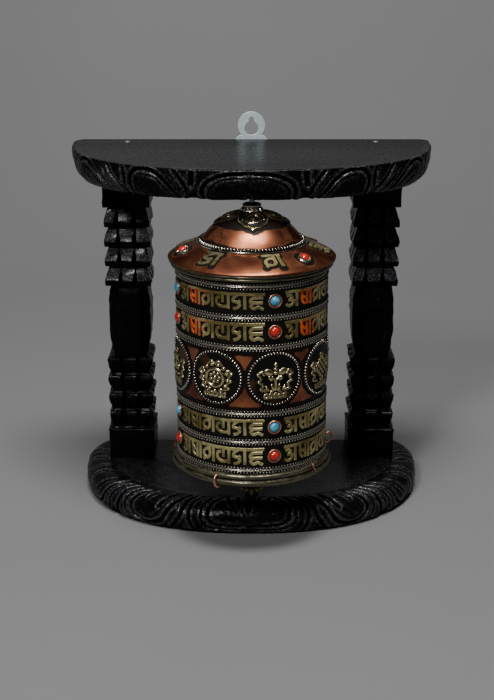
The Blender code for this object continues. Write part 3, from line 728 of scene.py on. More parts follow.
def turned(name, profile, steps=128, closed=True):
    """A ring or a round solid: its section is drawn point by point, then spun about the spindle."""
    leave_all()
    bpy.ops.mesh.primitive_plane_add(size=MM)
    piece = added(name)
    bpy.ops.object.mode_set(mode="EDIT")
    bpy.ops.mesh.select_mode(type="VERT")
    bpy.ops.mesh.select_all(action="SELECT")
    bpy.ops.mesh.merge(type="CENTER")
    bpy.ops.transform.translate(value=(profile[0][0] * MM, 0, profile[0][1] * MM))
    for (r, z), (next_r, next_z) in zip(profile, profile[1:]):
        bpy.ops.mesh.extrude_vertices_move(
            TRANSFORM_OT_translate={"value": ((next_r - r) * MM, 0, (next_z - z) * MM)}
        )
    if closed:
        pick(piece, (0, len(profile) - 1))
        bpy.ops.mesh.edge_face_add()
    bpy.ops.mesh.select_all(action="SELECT")
    bpy.ops.mesh.spin(steps=steps, angle=math.tau, center=(0, 0, 0), axis=(0, 0, 1))
    bpy.ops.mesh.select_all(action="SELECT")
    bpy.ops.mesh.remove_doubles(threshold=0.002 * MM)
    bpy.ops.mesh.normals_make_consistent(inside=False)
    bpy.ops.object.mode_set(mode="OBJECT")
    return piece


def bow(r, z, radius, start, end, parts=6):
    """Section points on an arc between two angles in degrees, 0 pointing outwards."""
    turns = [math.radians(start + (end - start) * i / parts) for i in range(parts + 1)]
    return [(r + radius * math.cos(turn), z + radius * math.sin(turn)) for turn in turns]


def moved(piece, place, rotation=(0, 0, 0)):
    piece.location = Vector(place) * MM
    piece.rotation_euler = rotation
    return settle(piece)


def steel_finish(name, colour, roughness, flecks):
    finish = Finish(name, metallic=1.0, roughness=roughness)
    place = finish.place
    cloud = place.speckle(flecks, 3.0, 0.6)
    dirt = place.speckle(flecks * 3, 4.0, 0.7).between(0.52, 0.72)
    dark = tuple(c * 0.35 for c in colour)
    finish.feed(Base_Color=(dirt * 0.45).tint(cloud.tint(tuple(c * 0.8 for c in colour), colour), dark))
    finish.feed(Roughness=(roughness - 0.06 + cloud * 0.16 + dirt * 0.15).clipped())
    return finish.raised(place.speckle(flecks * 8, 2.0), 0.05, 0.4)


bright_steel = steel_finish("drawn_steel", (0.42, 0.41, 0.39), 0.30, 160.0)
nail_steel = steel_finish("nail_steel", (0.62, 0.58, 0.50), 0.42, 300.0)
zinc = steel_finish("zinc_plating", (0.62, 0.71, 0.75), 0.42, 120.0)
zinc.shader.inputs["Metallic"].default_value = 0.45

for side, word in ((-1, "left"), (1, "right")):
    screw = turned(f"countersunk_screw_{word}", [
        (0, 49), (0.8, 46), (1.9, 42), (1.9, 4.2), (4.1, 1.5), (4.1, 1.0), (0, 1.0),
    ], 32, False)
    leave_all()
    bpy.ops.mesh.primitive_cube_add(size=MM, location=(0, 0, 0.9 * MM))
    slot = added("slot")
    slot.scale = (9, 0.9, 1.8)
    cut_away(screw, settle(slot))
    moved(screw, (side * 99.5, 98.25, 0), (0, 0, math.radians(25 + 40 * side)))
    smooth(screw)
    bright_steel.on(screw)
    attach(screw, "frame")
    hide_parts(f"base_screw_{word}")
    nail = turned(f"wire_nail_{word}", [
        (0, 0.35), (1.5, 0.3), (2.2, 0.05), (2.3, -0.25), (1.2, -0.6), (1.2, -41), (0, -43.5),
    ], 24, False)
    moved(nail, (side * 99.5, 107.0, 284.0))
    smooth(nail)
    nail_steel.on(nail)
    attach(nail, "frame")
    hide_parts(f"top_nail_{word}")
    pan = turned(f"plate_screw_{word}", [
        (0, 1.75), (1.4, 1.65), (2.4, 1.2), (3.0, 0.5), (3.15, 0), (1.4, 0), (1.4, -9), (0, -12),
    ], 32, False)
    leave_all()
    bpy.ops.mesh.primitive_cube_add(size=MM, location=(0, 0, 1.6 * MM))
    slot = added("slot")
    slot.scale = (7, 0.8, 1.3)
    cut_away(pan, settle(slot))
    moved(pan, (side * 9.0, 120.75, 272.0), (math.radians(-90), 0, 0))
    smooth(pan)
    zinc.on(pan)
    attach(pan, "frame")
    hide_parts(f"hanger_screw_{word}")

PLATE_HEAD = 295.2


def outline_plate(name, outline, thick):
    """Sheet cut to an outline in the XZ plane, its back at 0 and its front towards -Y."""
    leave_all()
    bpy.ops.mesh.primitive_circle_add(vertices=len(outline), radius=MM, fill_type="NGON")
    piece = added(name)
    raw = corners(piece)
    turn = np.argsort(np.argsort(np.mod(np.arctan2(raw[:, 1], raw[:, 0]), math.tau)))
    places = np.array([(outline[i][0], 0.0, outline[i][1]) for i in turn])
    move_corners(piece, places)
    bpy.ops.object.mode_set(mode="EDIT")
    bpy.ops.mesh.select_all(action="SELECT")
    bpy.ops.mesh.extrude_region_move(TRANSFORM_OT_translate={"value": (0, -thick * MM, 0)})
    bpy.ops.mesh.select_all(action="SELECT")
    bpy.ops.mesh.normals_make_consistent(inside=False)
    bpy.ops.object.mode_set(mode="OBJECT")
    return piece


plate_line = bow(0, PLATE_HEAD, 11.0, -46, 226, 40)
plate_line += drawn_through([(-9.6, 287.2), (-11.5, 285.6), (-13.2, 283.2), (-14.6, 279.0)], 4).tolist()
plate_line += bow(-12, 268, 3, 180, 270, 6) + bow(12, 268, 3, 270, 360, 6)
plate_line += drawn_through([(14.6, 279.0), (13.2, 283.2), (11.5, 285.6), (9.6, 287.2)], 4).tolist()
plate = outline_plate("keyhole_plate", plate_line, 1.2)
hole_line = bow(0, PLATE_HEAD - 2.3, 5.5, 113, 427, 36) + bow(0, PLATE_HEAD + 4.7, 2.1, 0, 180, 10)
hole = outline_plate("keyhole", hole_line, 6.0)
moved(hole, (0, 3, 0))
cut_away(plate, hole)
for side in (-1, 1):
    leave_all()
    bpy.ops.mesh.primitive_cylinder_add(
        vertices=24, radius=1.7 * MM, depth=6 * MM, location=(side * 9 * MM, 0, 272 * MM),
        rotation=(math.radians(90), 0, 0),
    )
    cut_away(plate, added("screw_hole"))
moved(plate, (0, 120.5, 0))
plate.modifiers.new("pressed_edge", "BEVEL").width = 0.22 * MM
plate.modifiers["pressed_edge"].segments = 2
plate.modifiers["pressed_edge"].limit_method = "ANGLE"
apply_all(plate)
smooth(plate, 15)
zinc.on(plate)
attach(plate, "frame")
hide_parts("hanger_plate")


# Spindle and its pivots
# A drawn steel rod runs through the whole wheel. Its point turns in a brass cup let into the
# base, and a scalloped bead cap hides the joint.

def tarnished_brass(name, colour, shine, streaks=(1.0, 1.0, 1.0), dark=0.5):
    finish = Finish(name, metallic=1.0, roughness=0.36)
    place = finish.place
    drawn = place.stretched(streaks)
    cloud = drawn.speckle(70.0, 4.0, 0.62, 0.6)
    spots = drawn.speckle(320.0, 3.0, 0.6)
    # The sunk value adds painted shade, near black, in the flutes and in the creases of the rolled rims; on ties 1 and
    # 3 it darkens the whole wire. The noise adds tarnish.
    soot = (cloud.between(0.44, 0.66) * dark + spots.between(0.55, 0.75) * 0.35 + place.noted("sunk")).clipped()
    metal = place.speckle(40.0, 2.0).tint(colour, shine)
    finish.shader.inputs["Specular IOR Level"].default_value = 0.14
    finish.feed(Base_Color=soot.tint(metal, (0.010, 0.008, 0.005)))
    finish.feed(Metallic=(1.0 - soot * 0.8).clipped())
    finish.feed(Roughness=(0.24 + soot * 0.2 + spots * 0.12).clipped())
    return finish.raised(cloud * 0.6 + spots * 0.4, 0.12, 0.45)


rod = turned("spindle_rod", [(0, 269.8), (1.7, 269.6), (2.0, 269.2), (2.0, 19.0), (0.3, 17.0), (0, 16.8)], 48, False)
smooth(rod)
bright_steel.on(rod)
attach(rod, "wheel")
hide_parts("spindle")

pivot_brass = tarnished_brass("pivot_brass", (0.40, 0.33, 0.17), (0.50, 0.43, 0.24))
cup = turned("pivot_cup_brass", [
    (4.7, 23.4), (5.0, 23.1), (5.0, 12.7), (0, 12.7), (0, 16.1), (2.3, 18.6), (2.3, 23.0), (2.7, 23.4),
], 40, False)
smooth(cup)
pivot_brass.on(cup)
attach(cup, "frame")
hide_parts("pivot_cup")


def fluted(piece, count, deep, low, high):
    """Presses flutes into a turned piece, strongest halfway between two heights."""
    places = corners(piece)
    turn = np.arctan2(places[:, 1], places[:, 0])
    weight = np.clip(1 - np.abs(2 * (places[:, 2] - low) / (high - low) - 1), 0, 1) ** 0.5
    radius = np.hypot(places[:, 0], places[:, 1])
    press = 1 - deep * weight * (1 - np.abs(np.cos(turn * count / 2))) / np.maximum(radius, 1)
    places[:, :2] *= press[:, None]
    move_corners(piece, places)
    # Painted shade: the flutes are marked sunk, darkest in their middles.
    note(piece, "sunk", weight * (1 - np.abs(np.cos(turn * count / 2))) ** 2 * 0.8)
    return piece


bead = turned("scalloped_bead", [
    (2.3, 33.0), (6.0, 33.0), (8.6, 32.7), (10.0, 31.8), (10.3, 30.8), (9.4, 29.6), (7.0, 28.7), (4.0, 28.2),
    (3.4, 27.6), (3.4, 24.2), (2.3, 24.2),
], 96)
fluted(bead, 12, 1.9, 28.0, 33.2)
smooth(bead)
pivot_brass.on(bead)
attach(bead, "wheel")
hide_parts("lower_bead")
lower_collar = turned("lower_collar", bow(5.8, 53.2, 1.2, 90, -90) + [(2.3, 51.8), (2.3, 54.6)], 48)
smooth(lower_collar)
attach(lower_collar, "wheel")
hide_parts("bottom_collar")


# Drum shell, floor and prayer roll
# The drum is a tube of thin copper sheet with a brass floor. Inside, a long strip of paper is
# wound round the spindle and held by a sleeve of saffron cloth.

def patinated_copper(name):
    """Copper sheet: rosy where it is worn bright, brown to black where sooty deposits and polish have stayed, and black
    where shade is painted in corners and as the top board's shadow on the dome.
    """
    finish = Finish(name, metallic=1.0, roughness=0.3)
    finish.shader.inputs["Specular IOR Level"].default_value = 0.12
    place = finish.place
    cloud = place.speckle(24.0, 4.0, 0.6, 0.8)
    blot = place.speckle(85.0, 4.0, 0.65, 0.4)
    smears = place.stretched((1.0, 1.0, 3.0)).speckle(46.0, 4.0, 0.62, 0.3)
    soot = (place.noted("soot") + (cloud - 0.5) * 0.8 + (blot - 0.5) * 0.8 + (smears - 0.5) * 0.5).between(0.28, 0.62)
    rosy = place.speckle(38.0, 2.0).between(0.3, 0.7).tint((0.20, 0.062, 0.036), (0.56, 0.205, 0.095))
    rosy = (smears.between(0.46, 0.66) * 0.7).tint(rosy, (0.15, 0.048, 0.026))
    finish.feed(Base_Color=soot.tint(rosy, (0.010, 0.006, 0.0045)))
    finish.feed(Metallic=(1.0 - soot * 0.75).clipped())
    finish.feed(Roughness=(0.26 + cloud * 0.12 + smears * 0.12 + soot * 0.06).clipped())
    return finish.raised(cloud * 0.9 + blot * 0.3 + place.speckle(500.0, 2.0) * 0.1, 0.45, 0.4)


copper = patinated_copper("patinated_copper")
shell = turned("copper_tube", [(55.4, 209.6), (55.4, 56.9), (54.6, 56.9), (54.6, 209.6)], 128)
smooth(shell)
note(shell, "soot", np.full(len(shell.data.vertices), 0.6))
copper.on(shell)
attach(shell, "wheel")
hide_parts("drum_shell")

floor_brass = tarnished_brass("floor_brass", (0.36, 0.30, 0.16), (0.46, 0.39, 0.22), dark=0.8)
drum_floor = turned("brass_floor", [
    (52.9, 56.4), (52.9, 55.8), (44.0, 55.75), (43.0, 55.2), (42.0, 55.75), (30.5, 55.8), (27.5, 55.2),
    (14.0, 55.2), (12.5, 54.7), (11.0, 55.2), (2.3, 55.2), (2.3, 56.4),
], 96)
smooth(drum_floor)
floor_brass.on(drum_floor)
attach(drum_floor, "wheel")
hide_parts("drum_floor")

roll_paper = Finish("printed_paper", roughness=0.9)
edges = roll_paper.place.speckle(200.0, 3.0)
roll_paper.feed(Base_Color=edges.tint((0.62, 0.55, 0.40), (0.74, 0.68, 0.53)))
roll_paper.raised(edges, 0.2)
roll_paper.on(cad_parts["paper_scroll"])
sleeve_cloth = Finish("saffron_cloth", roughness=0.95)
weave = sleeve_cloth.place.stretched((1, 1, 0.4)).speckle(1400.0, 1.0)
sleeve_cloth.feed(Base_Color=weave.tint((0.55, 0.22, 0.02), (0.78, 0.40, 0.05)))
sleeve_cloth.raised(weave, 0.2)
sleeve_cloth.on(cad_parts["scroll_sleeve"])


# Wire belts
# Six belts are soldered round the drum: two beaded wires with two plain ones between them, all
# of an antiqued white metal, on a blackened strip.

def antiqued(name, colour, shine, rough=0.24):
    finish = Finish(name, metallic=1.0, roughness=rough)
    finish.shader.inputs["Specular IOR Level"].default_value = 0.12
    place = finish.place
    cloud = place.speckle(60.0, 3.0, 0.6)
    grime = place.speckle(420.0, 3.0, 0.65)
    # The sunk value adds painted shade, near black, on the flanks of wires, beads and coils, in the notches and at the
    # foot of the coral cups, leaving their crests bright; it also blackens the belts' strip and the ropes' cores. The
    # noise adds grime.
    soot = (cloud.between(0.50, 0.72) * 0.45 + grime.between(0.52, 0.8) * 0.35 + place.noted("sunk")).clipped()
    finish.feed(Base_Color=soot.tint(place.speckle(30.0, 2.0).tint(colour, shine), (0.007, 0.006, 0.005)))
    finish.feed(Metallic=(1.0 - soot * 0.9).clipped())
    finish.feed(Roughness=(rough + soot * 0.2).clipped())
    return finish.raised(grime, 0.05, 0.5)


white_metal = antiqued("white_metal_wire", (0.36, 0.325, 0.25), (0.68, 0.63, 0.53), 0.2)
white_metal.on(lower_collar)
RING_PLACES = {"a": 207.0, "b": 184.0, "c": 161.5, "d": 111.5, "e": 89.5, "f": 67.4}
BEADS = 150


def beaded_wire(name, radius, height, size, count, slant=0.0, balls=1):
    """A ring of oblong beads, made once as a small ball and repeated round the spindle."""
    leave_all()
    bpy.ops.mesh.primitive_ico_sphere_add(
        subdivisions=balls, radius=0.5 * MM, location=(radius * MM, 0, height * MM), scale=size, rotation=(slant, 0, 0),
    )
    ball = settle(added(name))
    leave_all()
    step = bpy.data.objects.new("step", None)
    step.rotation_euler = (0, 0, math.tau / count)
    bpy.context.scene.collection.objects.link(step)
    repeat = ball.modifiers.new("round", "ARRAY")
    repeat.count = count
    repeat.use_relative_offset = False
    repeat.use_object_offset = True
    repeat.offset_object = step
    bpy.context.view_layer.update()
    apply_all(ball)
    bpy.data.objects.remove(step)
    return ball


def wire_belt(name):
    """One belt about height 0: strip, two plain wires and two beaded ones."""
    strip = turned("strip", [(56.1, 2.5), (56.3, 2.2), (56.3, -2.2), (56.1, -2.5), (55.5, -2.5), (55.5, 2.5)], 160)
    note(strip, "sunk", np.full(len(strip.data.vertices), 1.0))
    parts = [strip]
    for height in (-0.42, 0.42):
        wire = turned("wire", bow(56.7, height, 0.36, 0, 315, 7), 160)
        # Painted shade: all but the wire's outer crest is marked sunk.
        note(wire, "sunk", np.clip((56.98 - np.hypot(*corners(wire)[:, :2].T)) / 0.2, 0, 1))
        parts.append(wire)
    for height in (-1.85, 1.85):
        wire = beaded_wire("beads", 56.75, height, (1.7, 1.3, 1.5), BEADS)
        # Painted shade: all but the beads' outer fronts is marked sunk.
        note(wire, "sunk", np.clip((57.35 - np.hypot(*corners(wire)[:, :2].T)) / 0.25, 0, 1))
        parts.append(wire)
    belt = join(parts, name)
    smooth(belt, 60)
    white_metal.on(belt)
    return belt


first_belt = wire_belt("belt")
for letter, height in RING_PLACES.items():
    belt = copy_of(first_belt, f"wire_belt_{letter}")
    places = corners(belt)
    turn = math.radians(37.0 * "abcdef".index(letter))
    cos, sin = math.cos(turn), math.sin(turn)
    places[:, :2] = places[:, :2] @ np.array([[cos, sin], [-sin, cos]])
    places[:, 2] += height
    move_corners(belt, places)
    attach(belt, "wheel")
    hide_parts(f"wire_ring_{letter}")
bpy.data.objects.remove(first_belt)


# Relief bands
# Between the belts run four brass bands of invented strokes, pierced from sheet, soldered on a blackened ground. On the
# first two bands, the second stroke group after each stone and the start of the third are painted with a rust-red
# enamel.

def round_drum(piece, angle, height, radius):
    """Bends a piece made in the XZ plane, facing -Y, round the drum at an angle from its front."""
    places = corners(piece)
    turn = angle + places[:, 0] / radius
    reach = radius - places[:, 1]
    move_corners(piece, np.column_stack([
        np.sin(turn) * reach, -np.cos(turn) * reach, places[:, 2] + height,
    ]))
    return piece


def stroke_section(width, tall):
    """The section that every stroke of sheet relief has: flat topped, with eased edges."""
    section = bpy.data.curves.new("stroke_section", "CURVE")
    line = section.splines.new("POLY")
    half = width / 2
    points = [
        (-half, -0.4), (-half, tall - 0.25), (-half + 0.22, tall), (half - 0.22, tall), (half, tall - 0.25), (half, -0.4),
    ]
    line.points.add(len(points) - 1)
    for point, (x, y) in zip(line.points, points):
        point.co = (x * MM, y * MM, 0, 1)
    line.use_cyclic_u = True
    made = bpy.data.objects.new("stroke_section", section)
    bpy.context.scene.collection.objects.link(made)
    return made


def relief_strokes(name, strokes, width, tall):
    """Strokes cut from sheet, in the XZ plane and standing out towards -Y."""
    section = stroke_section(width, tall)
    shape = bpy.data.curves.new(name, "CURVE")
    shape.dimensions = "2D"
    shape.fill_mode = "NONE"
    shape.bevel_mode = "OBJECT"
    shape.bevel_object = section
    shape.use_fill_caps = True
    for number, points in enumerate(strokes):
        drawn = drawn_through(points, 4) if len(points) > 2 else np.array(points, dtype=float)
        line = shape.splines.new("POLY")
        line.points.add(len(drawn) - 1)
        for point, (x, z) in zip(line.points, drawn):
            point.co = (x * MM, z * MM, 0, 1)
            point.radius = 1.0 - 0.012 * (number % 5)
    made = bpy.data.objects.new(name, shape)
    bpy.context.scene.collection.objects.link(made)
    take(made)
    bpy.ops.object.convert(target="MESH")
    piece = bpy.context.object
    bpy.data.objects.remove(section)
    bpy.ops.object.mode_set(mode="EDIT")
    bpy.ops.mesh.select_all(action="SELECT")
    bpy.ops.mesh.remove_doubles(threshold=0.002 * MM)
    bpy.ops.mesh.normals_make_consistent(inside=False)
    bpy.ops.object.mode_set(mode="OBJECT")
    return moved(piece, (0, 0, 0), (math.radians(90), 0, 0))


# Each figure stands in a cell 12 wide and 13 tall, under its own piece of the head bar.
HEAD_BAR = [(0.06, 11.9), (11.94, 11.9)]
FIGURES = [
    [HEAD_BAR, [(9.6, 11.9), (9.7, 6), (9.6, 0.9)], [(1.2, 9.2), (4.2, 9.4), (5.6, 7.8), (4.0, 6.3), (2.6, 6.2)],
     [(4.0, 6.3), (6.3, 5.2), (6.0, 2.8), (3.2, 1.7), (1.0, 3.2)], [(6.2, 4.6), (8.0, 5.0), (9.6, 4.6)]],
    [HEAD_BAR, [(10.4, 11.9), (10.4, 0.9)], [(2.0, 11.9), (2.2, 8.6), (4.6, 6.4), (7.2, 6.2)],
     [(7.2, 11.9), (7.2, 1.2)], [(2.0, 6.6), (2.8, 3.6), (5.0, 1.6)], [(2.2, 8.4), (2.0, 6.4)]],
    [HEAD_BAR, [(10.2, 11.9), (10.2, 1.0)], [(7.0, 11.9), (7.2, 8.8), (4.6, 9.2), (2.0, 7.0), (2.2, 4.0), (4.8, 2.8),
     (7.0, 4.6), (7.2, 8.6)], [(3.0, 2.6), (1.6, 1.0)]],
    [HEAD_BAR, [(10.4, 11.9), (10.4, 1.0)], [(4.4, 9.2), (1.9, 8.4), (1.7, 4.8), (4.2, 2.6), (7.6, 2.4), (10.4, 3.4)],
     [(6.2, 11.9), (6.2, 5.4)]],
    [HEAD_BAR, [(10.0, 11.9), (10.2, 1.0)], [(5.6, 11.9), (2.4, 9.4), (2.0, 6.8), (5.2, 5.8), (6.6, 4.0), (4.6, 2.0),
     (2.0, 1.2)], [(5.4, 6.0), (7.0, 7.4)]],
    [HEAD_BAR, [(10.8, 9.4), (4.0, 9.2), (2.0, 7.4), (3.2, 5.8), (10.6, 5.8)],
     [(4.2, 5.6), (2.2, 3.6), (4.4, 1.6), (7.6, 2.6), (11.0, 0.9)]],
]
STONE_TURN = 16.8
BAND_RADIUS = 56.0
CELL = 12.15
BANDS = [("1", 196.3, 1.0, True), ("2", 173.4, 1.1, True), ("3", 100.8, 1.0, False), ("4", 78.2, 1.1, False)]


def sheet_brass(name):
    """Brass relief: olive-gold on its faces, black on its ground with painted shade down its sides, red where it is
    enamelled.
    """
    finish = Finish(name, metallic=0.85, roughness=0.34)
    place = finish.place
    cloud = place.speckle(110.0, 3.0, 0.6)
    wear_and_highlight = place.speckle(45.0, 3.0, 0.5)
    grime = place.speckle(600.0, 3.0, 0.65).between(0.54, 0.72)
    gold = wear_and_highlight.between(0.35, 0.65).tint((0.24, 0.195, 0.065), (0.64, 0.56, 0.26))
    gold = (cloud.between(0.48, 0.70) * 0.7).tint(gold, (0.12, 0.095, 0.04))
    paint = (place.noted("enamel") * (0.72 + place.speckle(380.0, 3.0).between(0.42, 0.5) * 0.28)).clipped()
    red = place.speckle(150.0, 3.0).between(0.35, 0.65).tint((0.28, 0.030, 0.008), (0.70, 0.095, 0.016))
    # The sunk value paints the blackened ground and adds painted shade down the strokes' sides; the grime speckle is
    # dirt.
    soot = (place.noted("sunk") * 1.0 + grime * 0.35).clipped()
    finish.shader.inputs["Specular IOR Level"].default_value = 0.14
    finish.feed(Base_Color=soot.tint(paint.tint(gold, red), (0.006, 0.0055, 0.0045)))
    finish.feed(Metallic=((0.92 - paint * 0.85) * (1.0 - soot * 0.95)).clipped())
    finish.feed(Roughness=(0.26 + soot * 0.2 + cloud * 0.18 + paint * 0.1).clipped())
    return finish.raised(cloud * 0.7 + place.speckle(260.0, 2.0) * 0.4, 0.12, 0.5)


band_brass = sheet_brass("sheet_brass")
figures = [relief_strokes(f"figure_{i}", strokes, 2.35, 1.0) for i, strokes in enumerate(FIGURES)]
for word, middle, scale, painted in BANDS:
    low = {"1": 186.8, "2": 164.3, "3": 92.3, "4": 70.2}[word]
    high = {"1": 204.2, "2": 181.2, "3": 108.7, "4": 86.7}[word]
    ground = turned("ground", [(BAND_RADIUS, high), (BAND_RADIUS, low), (55.5, low), (55.5, high)], 160)
    note(ground, "sunk", np.full(len(ground.data.vertices), 1.0))
    note(ground, "enamel", np.zeros(len(ground.data.vertices)))
    parts = [ground]
    luck = np.random.default_rng(int(word))
    for sector in range(4):
        for cell, figure in enumerate(figures):
            twin = copy_of(figure, "figure")
            places = corners(twin)
            places[:, 0] = places[:, 0] * (CELL / 12.0) + 7.6 + cell * CELL
            places[:, 2] = (places[:, 2] - 6.7) * scale * (1.0 + luck.normal(0, 0.01)) + luck.normal(0, 0.12)
            move_corners(twin, places)
            count = len(places)
            enamel = np.full(count, 0.0)
            if painted and cell in (1, 2):
                reach = 12.0 if cell == 1 else 3.2
                local = places[:, 0] - 7.6 - cell * CELL
                enamel = eased((reach - local) / 1.2) * (places[:, 2] < 5.6 * scale)
            note(twin, "enamel", enamel)
            # Painted shade: the strokes' sides near the ground are marked sunk.
            note(twin, "sunk", np.where(places[:, 1] > -0.9, 0.8, 0.0))
            round_drum(twin, math.radians(STONE_TURN + 90 * sector), middle, BAND_RADIUS)
            parts.append(twin)
    band = join(parts, f"relief_band_{word}")
    smooth(band, 38)
    band_brass.on(band)
    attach(band, "wheel")
    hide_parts(f"embossed_band_{word}")
for figure in figures:
    bpy.data.objects.remove(figure)


# Stones on the bands
# Four cabochons sit on each band, turquoise on the first and third, coral on the others. Each is
# set in a cup of thin copper with a rolled lip.

def facing_out(piece, angle, height, radius):
    """Turns a piece made about +Z so that its top points out of the drum."""
    outward = Vector((math.sin(angle), -math.cos(angle), 0))
    piece.rotation_euler = outward.to_track_quat("Z", "Y").to_euler()
    piece.location = (outward * radius + Vector((0, 0, height))) * MM
    return settle(piece)


def polished_stone(name, body, pale, vein, vein_scale):
    finish = Finish(name, roughness=0.16, coat=0.7, coat_rough=0.08)
    place = finish.place
    cloud = place.speckle(240.0, 4.0, 0.6, 0.5)
    lines = place.speckle(vein_scale, 4.0, 0.7, 1.6).between(0.57, 0.63)
    finish.feed(Base_Color=(lines * 0.55).tint(cloud.between(0.3, 0.7).tint(body, pale), vein))
    finish.feed(Roughness=(0.12 + cloud * 0.14).clipped())
    return finish.raised(cloud, 0.04, 0.3)


turquoise = polished_stone("turquoise", (0.018, 0.20, 0.36), (0.09, 0.40, 0.56), (0.01, 0.03, 0.04), 300.0)
coral = polished_stone("coral", (0.36, 0.006, 0.005), (0.56, 0.018, 0.010), (0.20, 0.006, 0.004), 200.0)
collet_copper = tarnished_brass("collet_copper", (0.50, 0.22, 0.13), (0.74, 0.38, 0.25), dark=0.35)


def cabochon(name, wide, tall):
    leave_all()
    bpy.ops.mesh.primitive_uv_sphere_add(segments=32, ring_count=20, radius=wide / 2 * MM)
    stone = added(name)
    bpy.ops.object.mode_set(mode="EDIT")
    bpy.ops.mesh.select_all(action="SELECT")
    bpy.ops.mesh.bisect(plane_co=(0, 0, -0.05 * wide * MM), plane_no=(0, 0, 1), use_fill=True, clear_inner=True)
    bpy.ops.mesh.select_all(action="SELECT")
    bpy.ops.transform.resize(value=(1, 1, tall / (wide / 2)), center_override=(0, 0, 0))
    bpy.ops.object.mode_set(mode="OBJECT")
    smooth(stone, 50)
    return stone


plain_collet = turned("collet", bow(4.75, 0.75, 0.62, 200, -110, 10) + [
    (4.55, -0.4), (3.4, -0.4), (3.4, 0.1), (3.85, 0.5), (3.95, 1.2), (4.15, 1.2),
], 40)
smooth(plain_collet, 50)
for word, middle, scale, painted in BANDS:
    stone_finish = turquoise if word in "13" else coral
    for sector in range(4):
        angle = math.radians(STONE_TURN + 90 * sector)
        collet = copy_of(plain_collet, f"collet_{word}_{sector + 1}")
        facing_out(collet, angle, middle, BAND_RADIUS + 0.3)
        collet_copper.on(collet)
        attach(collet, "wheel")
        stone = cabochon(f"stone_{word}_{sector + 1}", 7.4, 3.0)
        facing_out(stone, angle, middle, BAND_RADIUS + 0.7)
        stone_finish.on(stone)
        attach(stone, "wheel")
bpy.data.objects.remove(plain_collet)


# Medallion band
# A band of copper sheet with eight round plaques. Each plaque is cast brass with its ground
# blackened, and a twisted white wire soldered round it.

MEDALLION_TURN, MEDALLION_STEP, MEDALLION_MIDDLE = -27.8, 45.0, 138.0
leave_all()
bpy.ops.mesh.primitive_grid_add(x_subdivisions=360, y_subdivisions=44, size=2 * MM)
band = added("copper_band")
places = corners(band)
around, up = places[:, 0].copy() * 180, places[:, 1].copy() * 22.2
nearest = (around - MEDALLION_TURN + 22.5) % MEDALLION_STEP - 22.5
from_plaque = np.hypot(np.radians(nearest) * 56.3, up + 136.5 - MEDALLION_MIDDLE)
# Darker round each plaque's wire and along both edges by the belts.
soot = np.clip(1 - (from_plaque - 19.5) / 4.6, 0, 1) + 0.8 * np.clip(np.abs(up) - 18.0, 0, 3.5) / 3.5
turn = np.radians(around)
move_corners(band, np.column_stack([np.sin(turn) * 56.3, -np.cos(turn) * 56.3, up + 136.5]))
note(band, "soot", np.clip(soot + 0.2, 0, 1.1))
bpy.ops.object.mode_set(mode="EDIT")
bpy.ops.mesh.select_all(action="SELECT")
bpy.ops.mesh.remove_doubles(threshold=0.01 * MM)
bpy.ops.mesh.normals_make_consistent(inside=False)
bpy.ops.object.mode_set(mode="OBJECT")
band.modifiers.new("sheet", "SOLIDIFY").thickness = 0.5 * MM
apply_all(band)
smooth(band)
copper.on(band)
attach(band, "wheel")
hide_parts("medallion_band")


def bossed(height, x, z, bosses, tall):
    """Raises round or oval bosses: middle x and z, half length, half width, slope in degrees."""
    for middle_x, middle_z, long, short, slope in bosses:
        cos, sin = math.cos(math.radians(slope)), math.sin(math.radians(slope))
        u = ((x - middle_x) * cos + (z - middle_z) * sin) / long
        v = ((z - middle_z) * cos - (x - middle_x) * sin) / short
        height = np.maximum(height, tall * np.sqrt(np.clip(1 - u * u - v * v, 0, 1)))
    return height


def corded(height, x, z, lines, width, tall):
    """Raises round-backed cords along lines."""
    for points in lines:
        away, _ = near_line(drawn_through(points, 5), x, z, width)
        height = np.maximum(height, tall * np.sqrt(np.clip(1 - (2 * away / width) ** 2, 0, 1)))
    return height


def around_points(radius, count, first=0.0, x=0.0, z=0.0):
    turns = [math.radians(first + 360 * i / count) for i in range(count)]
    return [(x + radius * math.cos(turn), z + radius * math.sin(turn)) for turn in turns]


def mirrored(points):
    return [(-x, z) for x, z in points]


def lotus_seat(height, x, z):
    """The row of curled petals under every emblem, and the ribbons at its sides."""
    for i in range(-2, 3):
        place = i * 3.1
        height = corded(height, x, z, [[(place + 1.0, -9.7), (place - 0.9, -10.2), (place - 0.8, -12.3),
                                        (place + 0.9, -12.4)]], 1.25, 1.5)
        height = bossed(height, x, z, [(place + 0.9, -10.9, 0.75, 0.6, 0)], 1.3)
    for side in (-1, 1):
        ribbon = [(6.0, -7.6), (9.2, -6.6), (8.2, -3.6), (10.6, -1.6), (9.4, 1.0), (11.2, 3.4), (8.8, 5.4), (7.6, 3.6)]
        ribbon = [(side * a, b) for a, b in ribbon]
        height = corded(height, x, z, [ribbon], 1.35, 1.6)
        height = bossed(height, x, z, [(a, b, 1.15, 0.9, 30 * side) for a, b in ribbon[1::2]], 2.0)
    return height


def wheel_emblem(height, x, z):
    height = corded(height, x, z, [around_points(5.9, 16) + around_points(5.9, 16)[:2]], 1.7, 2.0)
    height = bossed(height, x, z, [(a, b, 1.25, 1.25, 0) for a, b in around_points(3.1, 7)], 1.6)
    height = bossed(height, x, z, [(0, 0, 1.4, 1.4, 0)], 2.2)
    height = bossed(height, x, z, [(a, b, 1.5, 1.2, 0) for a, b in around_points(8.9, 13, 20)], 1.8)
    return corded(height, x, z, [[(-5, 8.6), (-2.6, 11), (0, 9.4), (2.6, 11), (5, 8.6)]], 1.3, 1.5)


